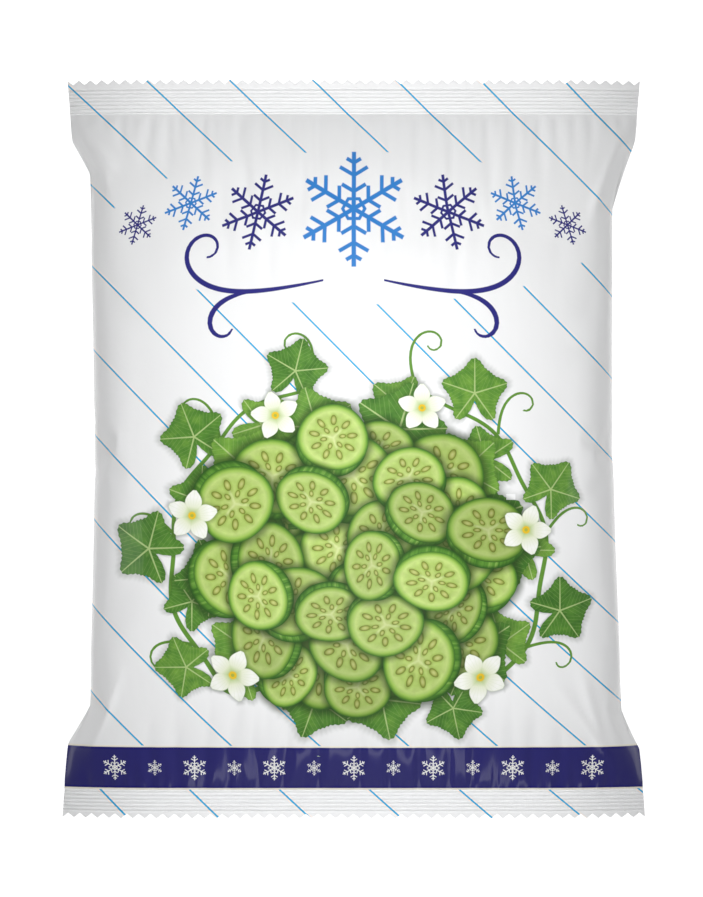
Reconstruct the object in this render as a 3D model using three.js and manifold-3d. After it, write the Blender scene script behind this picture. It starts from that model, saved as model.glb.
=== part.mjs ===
// A sealed pillow bag of frozen ivy gourd halves, lying on its back with the printed front up.
// Millimetres. +X runs across the bag, +Y up its printed front and +Z out of that front.
// The origin is on the table, under the middle of the bag.
import * as THREE from "three";
import { ParametricGeometry } from "three/addons/geometries/ParametricGeometry.js";
import { mergeVertices } from "three/addons/utils/BufferGeometryUtils.js";
import Module from "manifold-3d";

const wasm = await Module();
wasm.setup();

// Driving dimensions of the bag
const FLAT_WIDTH = 190; // the film tube laid flat, so its girth is twice this
const BAG_LENGTH = 240; // from tooth tip to tooth tip
const BAG_HEIGHT = 48; // at the crown: a waist of about 168 with a girth of 380 is this thick
const FILM = 0.6; // one layer of film, drawn thicker than the real 0.08
const TOP_SEAL_DEPTH = 11.3;
const BOTTOM_SEAL_DEPTH = 9.3;
const SEAL_Z = 13; // height of the flat end seals over the table

// The plan of the bag: the sides pull in from the sealed corners to a waist
const TOP_SEAL_HALF_WIDTH = 93.3;
const BOTTOM_SEAL_HALF_WIDTH = FLAT_WIDTH / 2;
const SHOULDER_HALF_WIDTH = 91.6; // where a corner ear starts to run in to the waist
const WAIST_HALF_WIDTH = 85.4;
const WAIST_PINCH = 1.5; // how much narrower each side is halfway down
const WAIST_LEAN = 1.5; // the right side is fuller towards the bottom by this much
const EARS = {
  topLeft: { waistAt: 86, shoulderAt: 101 },
  topRight: { waistAt: 73, shoulderAt: 103 },
  bottomLeft: { waistAt: 78, shoulderAt: 97 },
  bottomRight: { waistAt: 80, shoulderAt: 97 },
};
const FOLD_LIP = 0.8; // flat film left outside the bulge at the side folds
const LIP_SHARE = 0.06; // of the turn across a section that is spent on each flat lip or ear

// The bulge of the pouch
const FOLD_Z = 16; // height of the side folds at mid length
const CROWN_POWER = 2.8; // along the bag
const FRONT_POWER = 2.3; // across the front, 2 being an ellipse
const BACK_POWER = 4; // across the back, which lies flat on the table
const BACK_ROUND = 2.5;
const BACK_LENGTH_POWER = 6;
const TABLE_SINK = 2; // how far the back would hang below the table, which presses it flat

// The crimped seals
const TOOTH_PITCH = 3.8;
const TOOTH_DEPTH = 1.5;
const RIDGE_PITCH = 1.2;
const RIDGE_HEIGHT = 0.35;
const TOP_SEAL_MARGIN = 1.3; // plain film between the teeth and the first ridge
const BOTTOM_SEAL_MARGIN = 0.5;

// The fin seal, folded flat in a shallow channel down the back
const FIN_WIDTH = 10;
const FIN_X = 4; // middle of the folded fin
const FIN_CLEARANCE = 0.3;
const CHANNEL_WIDTH = FIN_WIDTH + 2;
const CHANNEL_DEPTH = 2 * FILM + FIN_CLEARANCE;
const SEAM_WIDTH = 1.6; // where the fin joins the back film

// Pin vents that let the air out of a frozen bag
const VENT_RADIUS = 0.7;
const VENT_PLACES = [28, 38, 48].map((x) => [x, 58]);

// The contents: 400 g of halves
const GOURD_LENGTH = 54;
const GOURD_RADIUS = 10.8;
const GOURD_BEND = 1.6; // sideways bow at the ends
const GOURD_FULLNESS = 3.5; // 2 is an ellipse, more is blunter
const GOURD_TAPER = 0.1; // thinner towards the stem end
const HALF_COUNT = 50;
const YAW_SPREAD = 0.8; // radians either way from lying across the bag
const CONTENTS_SEED = 11;
const TRIALS = 6000; // places tried for each half
const CELL = 1; // of the height field that the halves settle on
const HALF_GAP = 0.4;
const FOOTPRINT_MARGIN = 0.7;

// Mesh steps
const ACROSS_STEPS = 30; // over the front, and again under the back
const ALONG_STEPS = 38;
const CAVITY_ACROSS_STEPS = 22;
const CAVITY_ALONG_STEPS = 28;
const GOURD_SIDES = 12;
const GOURD_STEPS = 8;
const FIN_STEPS = 40;
const EDGE = 1e-6;

const POUCH_TOP = BAG_LENGTH / 2 - TOP_SEAL_DEPTH;
const POUCH_BOTTOM = -BAG_LENGTH / 2 + BOTTOM_SEAL_DEPTH;
const POUCH_MIDDLE = (POUCH_TOP + POUCH_BOTTOM) / 2;
const POUCH_HALF = (POUCH_TOP - POUCH_BOTTOM) / 2;
const SEAL_OVERLAP = 2; // how far the pouch runs into the seals that it is joined to

const printedFilm = new THREE.MeshStandardMaterial({ color: 0xf1f2f3, roughness: 0.35, metalness: 0 });
const frozenGourd = new THREE.MeshStandardMaterial({ color: 0x8fb04a, roughness: 0.6, metalness: 0 });

// Solids from closed geometries, and back
function solidOf(geometry) {
  const bare = geometry.clone();
  bare.deleteAttribute("normal");
  bare.deleteAttribute("uv");
  const merged = mergeVertices(bare, 1e-3);
  const kept = [];
  for (let i = 0; i < merged.index.count; i += 3) {
    const [a, b, c] = [0, 1, 2].map((k) => merged.index.getX(i + k));
    if (a !== b && b !== c && c !== a) kept.push(a, b, c);
  }
  return new wasm.Manifold(
    new wasm.Mesh({
      numProp: 3,
      vertProperties: merged.attributes.position.array,
      triVerts: new Uint32Array(kept),
    }),
  );
}

function geometryOf(solid) {
  const mesh = solid.getMesh();
  const geometry = new THREE.BufferGeometry();
  geometry.setAttribute("position", new THREE.BufferAttribute(mesh.vertProperties, 3));
  geometry.setIndex(new THREE.BufferAttribute(mesh.triVerts, 1));
  geometry.computeVertexNormals();
  return geometry;
}

// A flat outline of [across, up] points, extruded along +X from x0 to x1, with across along +Y and up along +Z
function alongX(points, x0, x1) {
  const shape = new THREE.Shape(points.map(([y, z]) => new THREE.Vector2(y, z)));
  const geometry = new THREE.ExtrudeGeometry(shape, { depth: x1 - x0, bevelEnabled: false });
  geometry.applyMatrix4(
    new THREE.Matrix4().makeBasis(
      new THREE.Vector3(0, 1, 0),
      new THREE.Vector3(0, 0, 1),
      new THREE.Vector3(1, 0, 0),
    ),
  );
  return solidOf(geometry.translate(x0, 0, 0));
}

// The plan: half width of the left (-1) or right (+1) side at a height y up the bag
const smooth = (x) => THREE.MathUtils.smoothstep(x, 0, 1);

function halfWidth(y, side) {
  const ear = EARS[(y > 0 ? "top" : "bottom") + (side < 0 ? "Left" : "Right")];
  const sealHalf = y > 0 ? TOP_SEAL_HALF_WIDTH : BOTTOM_SEAL_HALF_WIDTH;
  const reach = Math.abs(y);
  const along = y / ear.waistAt;
  const lean = side > 0 ? -WAIST_LEAN * THREE.MathUtils.clamp(along, -1, 1) : 0;
  const waist = WAIST_HALF_WIDTH + lean - WAIST_PINCH * Math.max(0, 1 - along * along);
  const flare = smooth((reach - ear.waistAt) / (ear.shoulderAt - ear.waistAt));
  const taper = THREE.MathUtils.clamp((reach - ear.shoulderAt) / (BAG_LENGTH / 2 - ear.shoulderAt), 0, 1);
  return waist + (SHOULDER_HALF_WIDTH - waist) * flare + (sealHalf - SHOULDER_HALF_WIDTH) * taper;
}

// The bulge keeps the waist's width to the ends, so the corners are flat ears of film
function bulgeHalfWidth(y, side) {
  const ear = EARS[(y > 0 ? "top" : "bottom") + (side < 0 ? "Left" : "Right")];
  const inner = THREE.MathUtils.clamp(y, -ear.waistAt, ear.waistAt);
  return Math.min(halfWidth(y, side), halfWidth(inner, side)) - FOLD_LIP;
}

// Heights of the film's outer faces: share is the place across the bulge, from -1 to 1
function sectionAt(y) {
  const t = Math.min(1, Math.abs(y - POUCH_MIDDLE) / POUCH_HALF);
  const fold = SEAL_Z + (FOLD_Z - SEAL_Z) * (1 - t * t);
  const crown = SEAL_Z + (BAG_HEIGHT - SEAL_Z) * (1 - t ** CROWN_POWER);
  const belly = fold - (fold + TABLE_SINK) * (1 - t ** BACK_LENGTH_POWER);
  return { fold, crown, belly };
}

function frontHeight(section, share) {
  const dome = Math.max(0, 1 - Math.abs(share) ** FRONT_POWER) ** (1 / FRONT_POWER);
  return section.fold + (section.crown - section.fold) * dome;
}

function backHeight(section, share) {
  const dome = Math.max(0, 1 - Math.abs(share) ** BACK_POWER) ** (1 / BACK_ROUND);
  return Math.max(0, section.fold - (section.fold - section.belly) * dome);
}

// A closed pillow between the film's outer faces, or inset by the film's thickness to make the cavity.
// Its side and end edges are sharp lines, where the front film meets the back film.
function pillow({ wall, lipShare, overrun, acrossSteps, alongSteps }) {
  const point = (u, v, target) => {
    const y = POUCH_MIDDLE + (POUCH_HALF + overrun) * Math.sin((u - 0.5) * Math.PI);
    const across = v < 0.5 ? 1 - 4 * v : 4 * v - 3; // over the front from the right, and back under
    const side = across < 0 ? -1 : 1;
    const bulge = bulgeHalfWidth(y, side) - wall;
    const lip = lipShare ? halfWidth(y, side) - bulge : 0;
    const reach = Math.abs(across) / (1 - lipShare);
    const share = Math.sin((Math.min(reach, 1) * Math.PI) / 2);
    const beyond = reach > 1 ? (Math.abs(across) - 1 + lipShare) / lipShare : 0;
    const section = sectionAt(y);
    const isEdge = Math.abs(across) > 1 - EDGE || Math.abs(u - 0.5) > 0.5 - EDGE;
    const front = frontHeight(section, share) + FILM - wall;
    const back = Math.max(wall, backHeight(section, share) - FILM + wall);
    const z = v < 0.5 ? front : back;
    target.set(side * (bulge * share + lip * beyond), y, isEdge ? section.fold : z);
  };
  return solidOf(new ParametricGeometry(point, alongSteps, 2 * acrossSteps));
}

// An end seal: two films crimped flat, with a pinked outer edge. end is +1 at the top and -1 at the bottom
function endSeal(end, depth, margin) {
  const edge = BAG_LENGTH / 2;
  const root = edge - TOOTH_DEPTH;
  const inner = edge - depth;
  const ridges = Math.floor((depth - TOOTH_DEPTH - margin) / RIDGE_PITCH);
  const wave = [[inner - SEAL_OVERLAP, 0], [inner, 0]];
  for (let i = 0; i < 2 * ridges; i++) {
    wave.push([inner + ((i + 0.5) * RIDGE_PITCH) / 2, (i % 2 ? -1 : 1) * (RIDGE_HEIGHT / 2)]);
  }
  wave.push([inner + ridges * RIDGE_PITCH, 0], [edge + 1, 0]);
  const upper = wave.map(([y, z]) => [end * y, SEAL_Z + z + FILM]);
  const lower = wave.map(([y, z]) => [end * y, SEAL_Z + z - FILM]);
  const outline = end > 0 ? [...lower, ...upper.reverse()] : [...upper, ...lower.reverse()];
  const ridged = alongX(outline, -FLAT_WIDTH, FLAT_WIDTH);

  const widthAtEdge = 2 * halfWidth(end * edge, 1);
  const teeth = Math.round(widthAtEdge / TOOTH_PITCH);
  const plan = [];
  for (let i = 0; i <= 2 * teeth; i++) {
    plan.push([widthAtEdge * (i / (2 * teeth) - 0.5), end * (i % 2 ? edge : root)]);
  }
  const innerY = end * (inner - SEAL_OVERLAP);
  plan.push([halfWidth(innerY, 1), innerY], [-halfWidth(innerY, -1), innerY]);
  const shape = new THREE.Shape(plan.map(([x, y]) => new THREE.Vector2(x, y)));
  const blank = new THREE.ExtrudeGeometry(shape, { depth: 2 * SEAL_Z, bevelEnabled: false });
  return ridged.intersect(solidOf(blank));
}

// The underside of the fin along the bag: on the table, then under the back film as that rises to the seals
function finUnderside(y) {
  const back = backHeight(sectionAt(y), FIN_X / bulgeHalfWidth(y, 1)) - FILM;
  return Math.max(0, back - 2 * FILM);
}

// A strip that follows the fin, between two heights over its underside
function finStrip(x0, x1, low, high) {
  const end = POUCH_HALF + SEAL_OVERLAP;
  const heights = Array.from({ length: FIN_STEPS + 1 }, (_, i) => {
    const y = POUCH_MIDDLE + end * Math.sin((i / FIN_STEPS - 0.5) * Math.PI);
    return [y, finUnderside(y)];
  });
  const lower = heights.map(([y, z]) => [y, z + low]);
  const upper = heights.map(([y, z]) => [y, z + high]).reverse();
  return alongX([...lower, ...upper], x0, x1);
}

function channel(wall) {
  const half = CHANNEL_WIDTH / 2 + wall;
  return finStrip(FIN_X - half, FIN_X + half, -2 * FILM, CHANNEL_DEPTH + wall);
}

function vent([x, y]) {
  const pin = new THREE.CylinderGeometry(VENT_RADIUS, VENT_RADIUS, 4 * FILM, 8);
  return solidOf(pin.rotateX(Math.PI / 2).translate(x, y, FILM / 2));
}

function filmBag() {
  const outside = pillow({
    wall: 0,
    lipShare: LIP_SHARE,
    overrun: SEAL_OVERLAP / 2,
    acrossSteps: ACROSS_STEPS,
    alongSteps: ALONG_STEPS,
  });
  const cavity = pillow({
    wall: FILM,
    lipShare: 0,
    overrun: -SEAL_OVERLAP,
    acrossSteps: CAVITY_ACROSS_STEPS,
    alongSteps: CAVITY_ALONG_STEPS,
  });
  const finLeft = FIN_X - FIN_WIDTH / 2;
  let film = outside.subtract(channel(0)).subtract(cavity.subtract(channel(FILM)));
  film = film.add(endSeal(1, TOP_SEAL_DEPTH, TOP_SEAL_MARGIN));
  film = film.add(endSeal(-1, BOTTOM_SEAL_DEPTH, BOTTOM_SEAL_MARGIN));
  film = film.add(finStrip(finLeft, finLeft + FIN_WIDTH, 0, 2 * FILM));
  film = film.add(finStrip(finLeft, finLeft + SEAM_WIDTH, FILM, CHANNEL_DEPTH + FILM / 2));
  for (const place of VENT_PLACES) film = film.subtract(vent(place));
  return film;
}

// One half gourd, its cut face on z = 0 and its round side up, long along X and bowed along Y
function gourdRadius(share) {
  const plump = Math.sqrt(Math.max(0, 1 - Math.abs(share) ** GOURD_FULLNESS));
  return GOURD_RADIUS * plump * (1 - GOURD_TAPER * share);
}

const gourdBow = (share) => GOURD_BEND * share * share;

function halfGourd() {
  const profile = Array.from({ length: GOURD_STEPS + 1 }, (_, i) => {
    const share = -Math.cos((i / GOURD_STEPS) * Math.PI);
    return new THREE.Vector2(gourdRadius(share), (share * GOURD_LENGTH) / 2);
  });
  const whole = new THREE.LatheGeometry(profile, GOURD_SIDES).rotateZ(-Math.PI / 2);
  const at = whole.attributes.position;
  for (let i = 0; i < at.count; i++) {
    at.setY(i, at.getY(i) + gourdBow((2 * at.getX(i)) / GOURD_LENGTH));
  }
  const block = new THREE.BoxGeometry(2 * GOURD_LENGTH, 4 * GOURD_RADIUS, 4 * GOURD_RADIUS);
  return solidOf(whole).subtract(solidOf(block.translate(0, 0, -2 * GOURD_RADIUS)));
}

// The room inside the film over a point of the table
function roomAt(x, y) {
  const inner = bulgeHalfWidth(y, Math.sign(x) || 1) - FILM;
  const share = x / inner;
  if (Math.abs(share) > 1 || Math.abs(y - POUCH_MIDDLE) > POUCH_HALF - SEAL_OVERLAP) return null;
  const section = sectionAt(y);
  const nearFin = Math.abs(x - FIN_X) < CHANNEL_WIDTH / 2 + FILM + CELL;
  const bump = nearFin ? finUnderside(y) + CHANNEL_DEPTH + FILM : 0;
  return { low: Math.max(FILM, bump, backHeight(section, share)), high: frontHeight(section, share) };
}

// Lays the halves one by one: each takes the lowest of many random places on the pile under the front film
function settledHalves() {
  const columns = Math.ceil(FLAT_WIDTH / CELL);
  const rows = Math.ceil(BAG_LENGTH / CELL);
  const low = new Float32Array(columns * rows).fill(Infinity);
  const high = new Float32Array(columns * rows).fill(-Infinity);
  const cellAt = (x, y) => Math.floor(y / CELL + rows / 2) * columns + Math.floor(x / CELL + columns / 2);
  for (let cell = 0; cell < columns * rows; cell++) {
    const x = ((cell % columns) + 0.5 - columns / 2) * CELL;
    const y = (Math.floor(cell / columns) + 0.5 - rows / 2) * CELL;
    const room = roomAt(x, y);
    if (room) [low[cell], high[cell]] = [room.low, room.high];
  }
  const spots = [];
  for (let u = -GOURD_LENGTH / 2 - 1; u <= GOURD_LENGTH / 2 + 1; u += CELL) {
    for (let v = -GOURD_RADIUS - 1; v <= GOURD_RADIUS + 1; v += CELL) {
      const inward = (a, m) => Math.sign(a) * Math.max(0, Math.abs(a) - m);
      const share = THREE.MathUtils.clamp(inward(u, FOOTPRINT_MARGIN) / (GOURD_LENGTH / 2), -1, 1);
      const radius = gourdRadius(share);
      const offset = inward(v, FOOTPRINT_MARGIN);
      if (Math.abs(offset) <= radius) {
        spots.push({ u, v: v + gourdBow(share), rise: Math.sqrt(radius * radius - offset * offset) });
      }
    }
  }
  const cellsUnder = (trial) => {
    const [c, s] = [Math.cos(trial.yaw), Math.sin(trial.yaw)];
    const turn = trial.cutFaceUp ? -1 : 1;
    return spots.map(({ u, v }) => cellAt(trial.x + c * u - s * v * turn, trial.y + s * u + c * v * turn));
  };
  // heights of a half's underside and top over its own base
  const under = (spot, trial) => (trial.cutFaceUp ? GOURD_RADIUS - spot.rise : 0);
  const over = (spot, trial) => (trial.cutFaceUp ? GOURD_RADIUS : spot.rise);
  const random = THREE.MathUtils.seededRandom;
  random(CONTENTS_SEED);
  const between = (a, b) => a + (b - a) * random();
  const placed = [];
  while (placed.length < HALF_COUNT) {
    let best = null;
    for (let n = 0; n < TRIALS; n++) {
      const trial = {
        x: between(-1, 1) * WAIST_HALF_WIDTH,
        y: POUCH_MIDDLE + between(-1, 1) * POUCH_HALF,
        yaw: between(-1, 1) * YAW_SPREAD,
        cutFaceUp: random() < 0.5,
      };
      const cells = cellsUnder(trial);
      const limit = best ? best.base : Infinity;
      let base = 0;
      const isLower = cells.every((cell, i) => {
        base = Math.max(base, low[cell] + HALF_GAP - under(spots[i], trial));
        return base < limit;
      });
      const fits = isLower && cells.every((cell, i) => base + over(spots[i], trial) + HALF_GAP < high[cell]);
      if (fits) best = { ...trial, base, cells };
    }
    if (!best) throw new Error(`only ${placed.length} halves fit in the bag`);
    best.cells.forEach((cell, i) => (low[cell] = Math.max(low[cell], best.base + over(spots[i], best))));
    placed.push(best);
  }
  return placed;
}

// The bag and its contents
const bag = new THREE.Group();
const film = new THREE.Mesh(geometryOf(filmBag()), printedFilm);
film.name = "film_bag";
bag.add(film);

const contents = new THREE.Group();
const halfGeometry = geometryOf(halfGourd());
settledHalves().forEach(({ x, y, yaw, cutFaceUp, base }, i) => {
  const half = new THREE.Mesh(halfGeometry, frozenGourd);
  half.name = `gourd_half_${String(i + 1).padStart(2, "0")}`;
  half.rotation.set(cutFaceUp ? Math.PI : 0, 0, yaw, "ZYX");
  half.position.set(x, y, base + (cutFaceUp ? GOURD_RADIUS : 0));
  contents.add(half);
});
bag.add(contents);

export default bag;
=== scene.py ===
import math
import random

import bpy
import numpy as np
from bpy.props import FloatProperty, FloatVectorProperty, PointerProperty
from mathutils import Matrix, Vector


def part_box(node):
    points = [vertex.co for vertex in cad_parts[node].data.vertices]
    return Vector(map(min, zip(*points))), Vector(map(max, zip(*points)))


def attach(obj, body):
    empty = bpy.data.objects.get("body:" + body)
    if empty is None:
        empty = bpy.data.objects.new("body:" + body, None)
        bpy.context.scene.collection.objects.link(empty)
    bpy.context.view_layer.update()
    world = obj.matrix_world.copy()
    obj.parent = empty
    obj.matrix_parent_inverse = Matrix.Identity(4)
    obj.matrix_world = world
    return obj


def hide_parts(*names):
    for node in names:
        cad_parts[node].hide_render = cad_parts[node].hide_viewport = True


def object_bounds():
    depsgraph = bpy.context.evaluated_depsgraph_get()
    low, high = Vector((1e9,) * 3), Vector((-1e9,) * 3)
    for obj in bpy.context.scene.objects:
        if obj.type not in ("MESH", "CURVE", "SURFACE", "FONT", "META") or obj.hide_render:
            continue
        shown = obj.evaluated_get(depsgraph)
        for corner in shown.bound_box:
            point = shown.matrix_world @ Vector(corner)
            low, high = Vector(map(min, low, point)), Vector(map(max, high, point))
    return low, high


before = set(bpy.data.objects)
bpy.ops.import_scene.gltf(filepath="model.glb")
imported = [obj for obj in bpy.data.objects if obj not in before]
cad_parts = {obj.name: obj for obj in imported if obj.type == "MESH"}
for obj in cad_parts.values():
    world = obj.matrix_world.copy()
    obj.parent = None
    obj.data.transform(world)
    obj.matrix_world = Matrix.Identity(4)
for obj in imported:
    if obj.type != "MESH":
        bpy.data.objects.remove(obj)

bl_info = {
    "name": "Frozen Gourd Bag",
    "version": (1, 0, 0),
    "blender": (4, 5, 0),
    "location": "View3D > Sidebar > Frozen Bag",
    "description": "Makes a printed pillow bag of frozen gourd halves, lying on a table",
    "category": "Add Mesh",
}

# Sizes are in metres. Places in the print are in millimetres on the flat film, from the middle of the front
CAD_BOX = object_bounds()
CAD_LOW, CAD_HIGH = (Vector(corner) for corner in CAD_BOX)
GOURD_NODES = sorted(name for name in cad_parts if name.startswith("gourd_half_"))
MM = 0.001

# Plan of the bag: where each corner ear starts at the waist and ends at the shoulder, along the bag
EARS = {
    ("top", -1): (0.0888, 0.0997),
    ("top", 1): (0.0775, 0.1005),
    ("bottom", -1): (0.0828, 0.0958),
    ("bottom", 1): (0.0842, 0.0975),
}
# How far the top seal is drawn in, the right side leans and the waist is hollow
SEAL_TUCK, SIDE_LEAN, WAIST_HOLLOW = 0.0017, 0.0015, 0.0015
# The share of the ears that the filling reaches, and the flat edge beside it near the seals
EAR_FILL, FLANGE = 0.9, 0.0008

# Cross sections: how the crown and the belly fall towards the seals, and how full the front and the back are
CROWN_FALL, BELLY_FALL = 2.8, 6
FRONT_FULL, FRONT_SLACK = 2.3, 0.7
BACK_FULL, BACK_ROUND = 4, 2.5
# How far the belly would sink into the table that it lies flat on
BELLY_PRESS = 0.002
# Points that half a section is first drawn with, and half the gap between the film's layers
SECTION_STEPS = 120
LAYER_GAP = 0.00012
# Where the ends of the bag begin, as a share of the way from its middle to a seal
END_START, END_REACH = 0.55, 0.35
# Where the corners begin to hang, along the bag and across it
DROOP_ALONG = 0.6
DROOP_START, DROOP_REACH = 0.062, 0.033
# Soft creases in the ears, from near a seal's corner down towards the side
CREASES = (
    ((-0.0900, 0.1065), (-0.0775, 0.0800)),
    ((-0.0872, 0.1010), (-0.0760, 0.0895)),
    ((0.0870, 0.1025), (0.0745, 0.0700)),
    ((-0.0865, -0.1010), (-0.0740, -0.0695)),
    ((0.0870, -0.1045), (0.0620, -0.0720)),
    ((0.0810, -0.0970), (0.0720, -0.0690)),
)
CREASE_REACH = 0.0017
# How wide a gourd presses the film out, and from how deep under it
LUMP_REACH, LUMP_DEPTH = 0.008, 0.012

# Mesh of the film: teeth of the pinked edges, and rows along the bag
TEETH = 49
COLUMNS_PER_TOOTH = 4
PANEL_COLUMNS = TEETH * COLUMNS_PER_TOOTH
POUCH_ROWS = 132
ROW_EVENNESS = 0.75
SEAL_ROW = 0.0002
TOOTH_ROOM = 0.0001
# Plain film between the crimp ridges and the teeth, at the top and at the bottom
TOP_MARGIN, BOTTOM_MARGIN = 0.0013, 0.0005
FIN_ROOT, FIN_TIP = -0.001, 0.009
FIN_COLUMNS = 24
FIN_RIDGES = 4
FIN_FADE = 0.003
FIN_BEND = 8
FOLD_ANGLE = math.radians(35)
FILM_MAP = "OFBake"
MAP_SHARE = (0.94, 0.98)

# Settling of the film: how it runs, what stays on the table, where there is slack and how far it may move
SETTLE_FRAMES = 25
SETTLE_SCALE = 10
SETTLE_CAP = 0.008
SIDE_PULL = 0.0018
TABLE_TOUCH = 0.0002
RESTING_HALF = (0.06, 0.07)
END_SLACK_FROM = 0.5
SIDE_SLACK_FROM, SIDE_SLACK_REACH = 0.65, 0.3
FILM_CLOTH = {
    "tension_stiffness": 40,
    "compression_stiffness": 40,
    "shear_stiffness": 20,
    "bending_stiffness": 2,
    "tension_damping": 15,
    "compression_damping": 15,
    "shear_damping": 15,
    "bending_damping": 1,
    "air_damping": 3,
}
# How far the crown rises as it settles
SETTLE_RISE = 0.0036
# Finish of the film
FILM_FINISH = {"Specular IOR Level": 0.3, "Coat Weight": 0.75, "Coat Roughness": 0.1}

# Gourd halves: their mesh, the extent of the seed core, where skin and cut face lie on their map, and their
# seeds and frost
GOURD_ROWS = 48
GOURD_COLUMNS = 12
CORE_WIDTH, CORE_LENGTH = 0.72, 0.9
GOURD_MAP = (0.48, 0.23)
SKIN_MAP, CUT_MAP = 0.75, 0.25
SEEDS_ALONG = 9.0
SEED_ROWS = (0.2, 0.55)
SEED_LENGTH, SEED_WIDTH = 0.36, 0.13
FROST = (0.86, 0.90, 0.92, 1)

# Stripes: their slant, how many go round the bag, where they start, and their width
STRIPE_ANGLE = math.radians(44.4)
STRIPES_ROUND = 14
STRIPE_PHASE = 0.43
STRIPE_WIDTH = 0.53
# How far behind the side folds the stripes come to lie as on the flat film
STRIPE_TURN = 70.0
# How much wider the stripes are spaced along the bag, by powers of the place along it from the square down
STRIPE_SPREAD = (4.5e-6, -0.00035, -0.024)
# The clear field at the top that the stripes stay out of: its middle along the bag and its half sizes
CLEAR_AT = 71.0
CLEAR_SIZE = (84.0, 25.0)
# The band over the bottom seal, the line along its edges, and the darker rim inside it
BAND = (-110.0, -96.3)
EDGE_LINE = 0.55
BAND_RIM = 0.75
# Pin vents in the back: the middle one of three, their spacing and their size
VENTS_AT = (152.0, 58.0)
VENT_PITCH = 10.0
VENT_RADIUS = 0.7
# Painted shade: the dark colour of the inside of the bag, seen through each vent hole
VENT_SHADE = (0.05, 0.06, 0.05, 1)

# The heap of slices and the leaves under it and round its rim
HEAP_AT = (1.0, -37.0)
HEAP_RADIUS = 43.0
HEAP_EDGE = 6.0
HEAP_SEED, LEAF_SEED = 4, 8
HEAP_SLICES = 44
SLICE_SIZES, SLICE_SQUASH = (11.0, 14.0), (0.76, 0.95)
BED_LEAVES, BED_LEAF_SIZE, BED_SPREAD = 9, 19.0, 12
RIM_LEAVES, RIM_LEAF_SIZES = 10, (13, 16)
GOLDEN_ANGLE = math.pi * (3 - math.sqrt(5))
# The wreath: its vines, their leaves and tendrils, and the blossoms by their turn in degrees
WREATH_RADIUS = 59.0
VINE_FOOT, VINE_SWEEP = math.radians(-62), math.radians(138)
VINE_TUCK, VINE_TUCK_SHARE = 20.0, 0.15
VINE_WAVE, VINE_WAVES = 1.1, 4
VINE_LEAVES, VINE_LEAF_SIZES = 8, (10.5, 13.0)
TENDRILS = ((0.26, 26), (0.52, 24), (0.76, 28), (0.97, 34))
BLOSSOM_TURNS = (68, 12, -42, 118, 163, 221)
BLOSSOM_SIZE, BLOSSOM_INSET = 8.0, 5.0
# The scrolls: where they start, their heading and length, and where they branch and how long the branch is
SCROLL_AT, SCROLL_HEADING, SCROLL_LENGTH = (9, 54), -0.22, 72
BRANCH_SHARE, BRANCH_LENGTH = 0.3, 30
# Tints of snowflakes and lines, and the inks of the print
SKY, NAVY, WHITE, GREEN = 0.0, 0.33, 0.66, 1.0
NAVY_INK = (0.022, 0.02, 0.20)
LINE_INKS = ((NAVY, NAVY_INK), (GREEN, (0.12, 0.29, 0.035)))
FLAKE_INKS = ((SKY, (0.03, 0.22, 0.62)), (NAVY, NAVY_INK), (WHITE, (0.9, 0.9, 0.88)))
BED_INK = (0.025, 0.075, 0.012, 1)
SHADE_INK = (0.02, 0.05, 0.01, 1)
RIM_INK = (0.004, 0.003, 0.15, 1)
# Snowflakes at the top: the large one in the middle and those on each side of it, by place, size and tint
MIDDLE_FLAKE = ((0, 77), 0.0, 19, SKY)
SIDE_FLAKES = ((32, 76, 12.5, NAVY), (55, 79, 9, SKY), (72, 72, 6.5, NAVY))
BAND_FLAKES, BAND_FLAKE_STEP, BAND_FLAKE_SIZES = 13, 13, (4.2, 2.6)
# How lines are drawn and how many motifs of a kind may lie over each other on one face
TRAIL_STEP = 0.4
LINE_REACH = 2.4
LINE_WINDOW = 9
LINE_SLOTS, LEAF_SLOTS, SLICE_SLOTS = 2, 4, 6
# How far from its middle a motif is drawn, in its own sizes, and the local place of a corner that has none
LEAF_MARGIN, SLICE_MARGIN, BLOSSOM_MARGIN, FLAKE_MARGIN = 1.35, 1.36, 1.35, 1.2
FAR_OFF = (9.0, 9.0, 0.0)

# Parts of the motifs, in shares of a motif's size
MOTIF_OUTPUTS = {"Color": "Color", "Mask": "Float", "Shade": "Float"}
# Rings of seeds in a slice: how many, how far from the middle, their half length and width, and their turn
SLICE_SEEDS = ((9, 0.53, 0.155, 0.085, 0.0), (6, 0.27, 0.10, 0.062, 0.4))
SLICE_THICKNESS = 0.2
LEAF_LOBES = ((5.0, 0.115), (10.0, 0.03), (1.0, 0.05))
FLAKE_TWIGS = ((0.30, 0.26), (0.58, 0.30), (0.80, 0.16))
TWIG_ANGLE = math.radians(60)

# The stage: lamps with their place, size, watts, aim and the kind of light path that sees them
LAMPS = (
    ("overhead lamp", (0, 0.005, 0.235), (0.1, 0.56), 0.83, (0, 0.005, 0), "diffuse"),
    ("left panel", (-1.0, 0, 0.28), (0.46, 1.2), 1.8, (0, 0, 0.02), "glossy"),
    ("right panel", (1.0, 0, 0.28), (0.46, 1.2), 1.8, (0, 0, 0.02), "glossy"),
    ("near panel", (0.1, -1.0, 0.30), (0.5, 0.08), 0.2, (0, 0, 0.02), "glossy"),
)
WORLD_LIGHT = 0.16
TABLE_SIZE = 6
TABLE_ROUGHNESS = 0.8
# Where the camera hangs over the bag, and the length of table that its picture takes in
CAMERA_AT = (-0.00073, 0.00016)
VIEW_LENGTH = 0.2911


def metres(name, description, default):
    """A length that a user may change"""
    return FloatProperty(name=name, description=description, default=default, unit="LENGTH")


def number(name, description, default, low, high):
    """A plain number that a user may change"""
    return FloatProperty(name=name, description=description, default=default, min=low, max=high)


def ink(name, description, default):
    """A colour that a user may change"""
    return FloatVectorProperty(name=name, description=description, default=default, size=4, subtype="COLOR")


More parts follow.
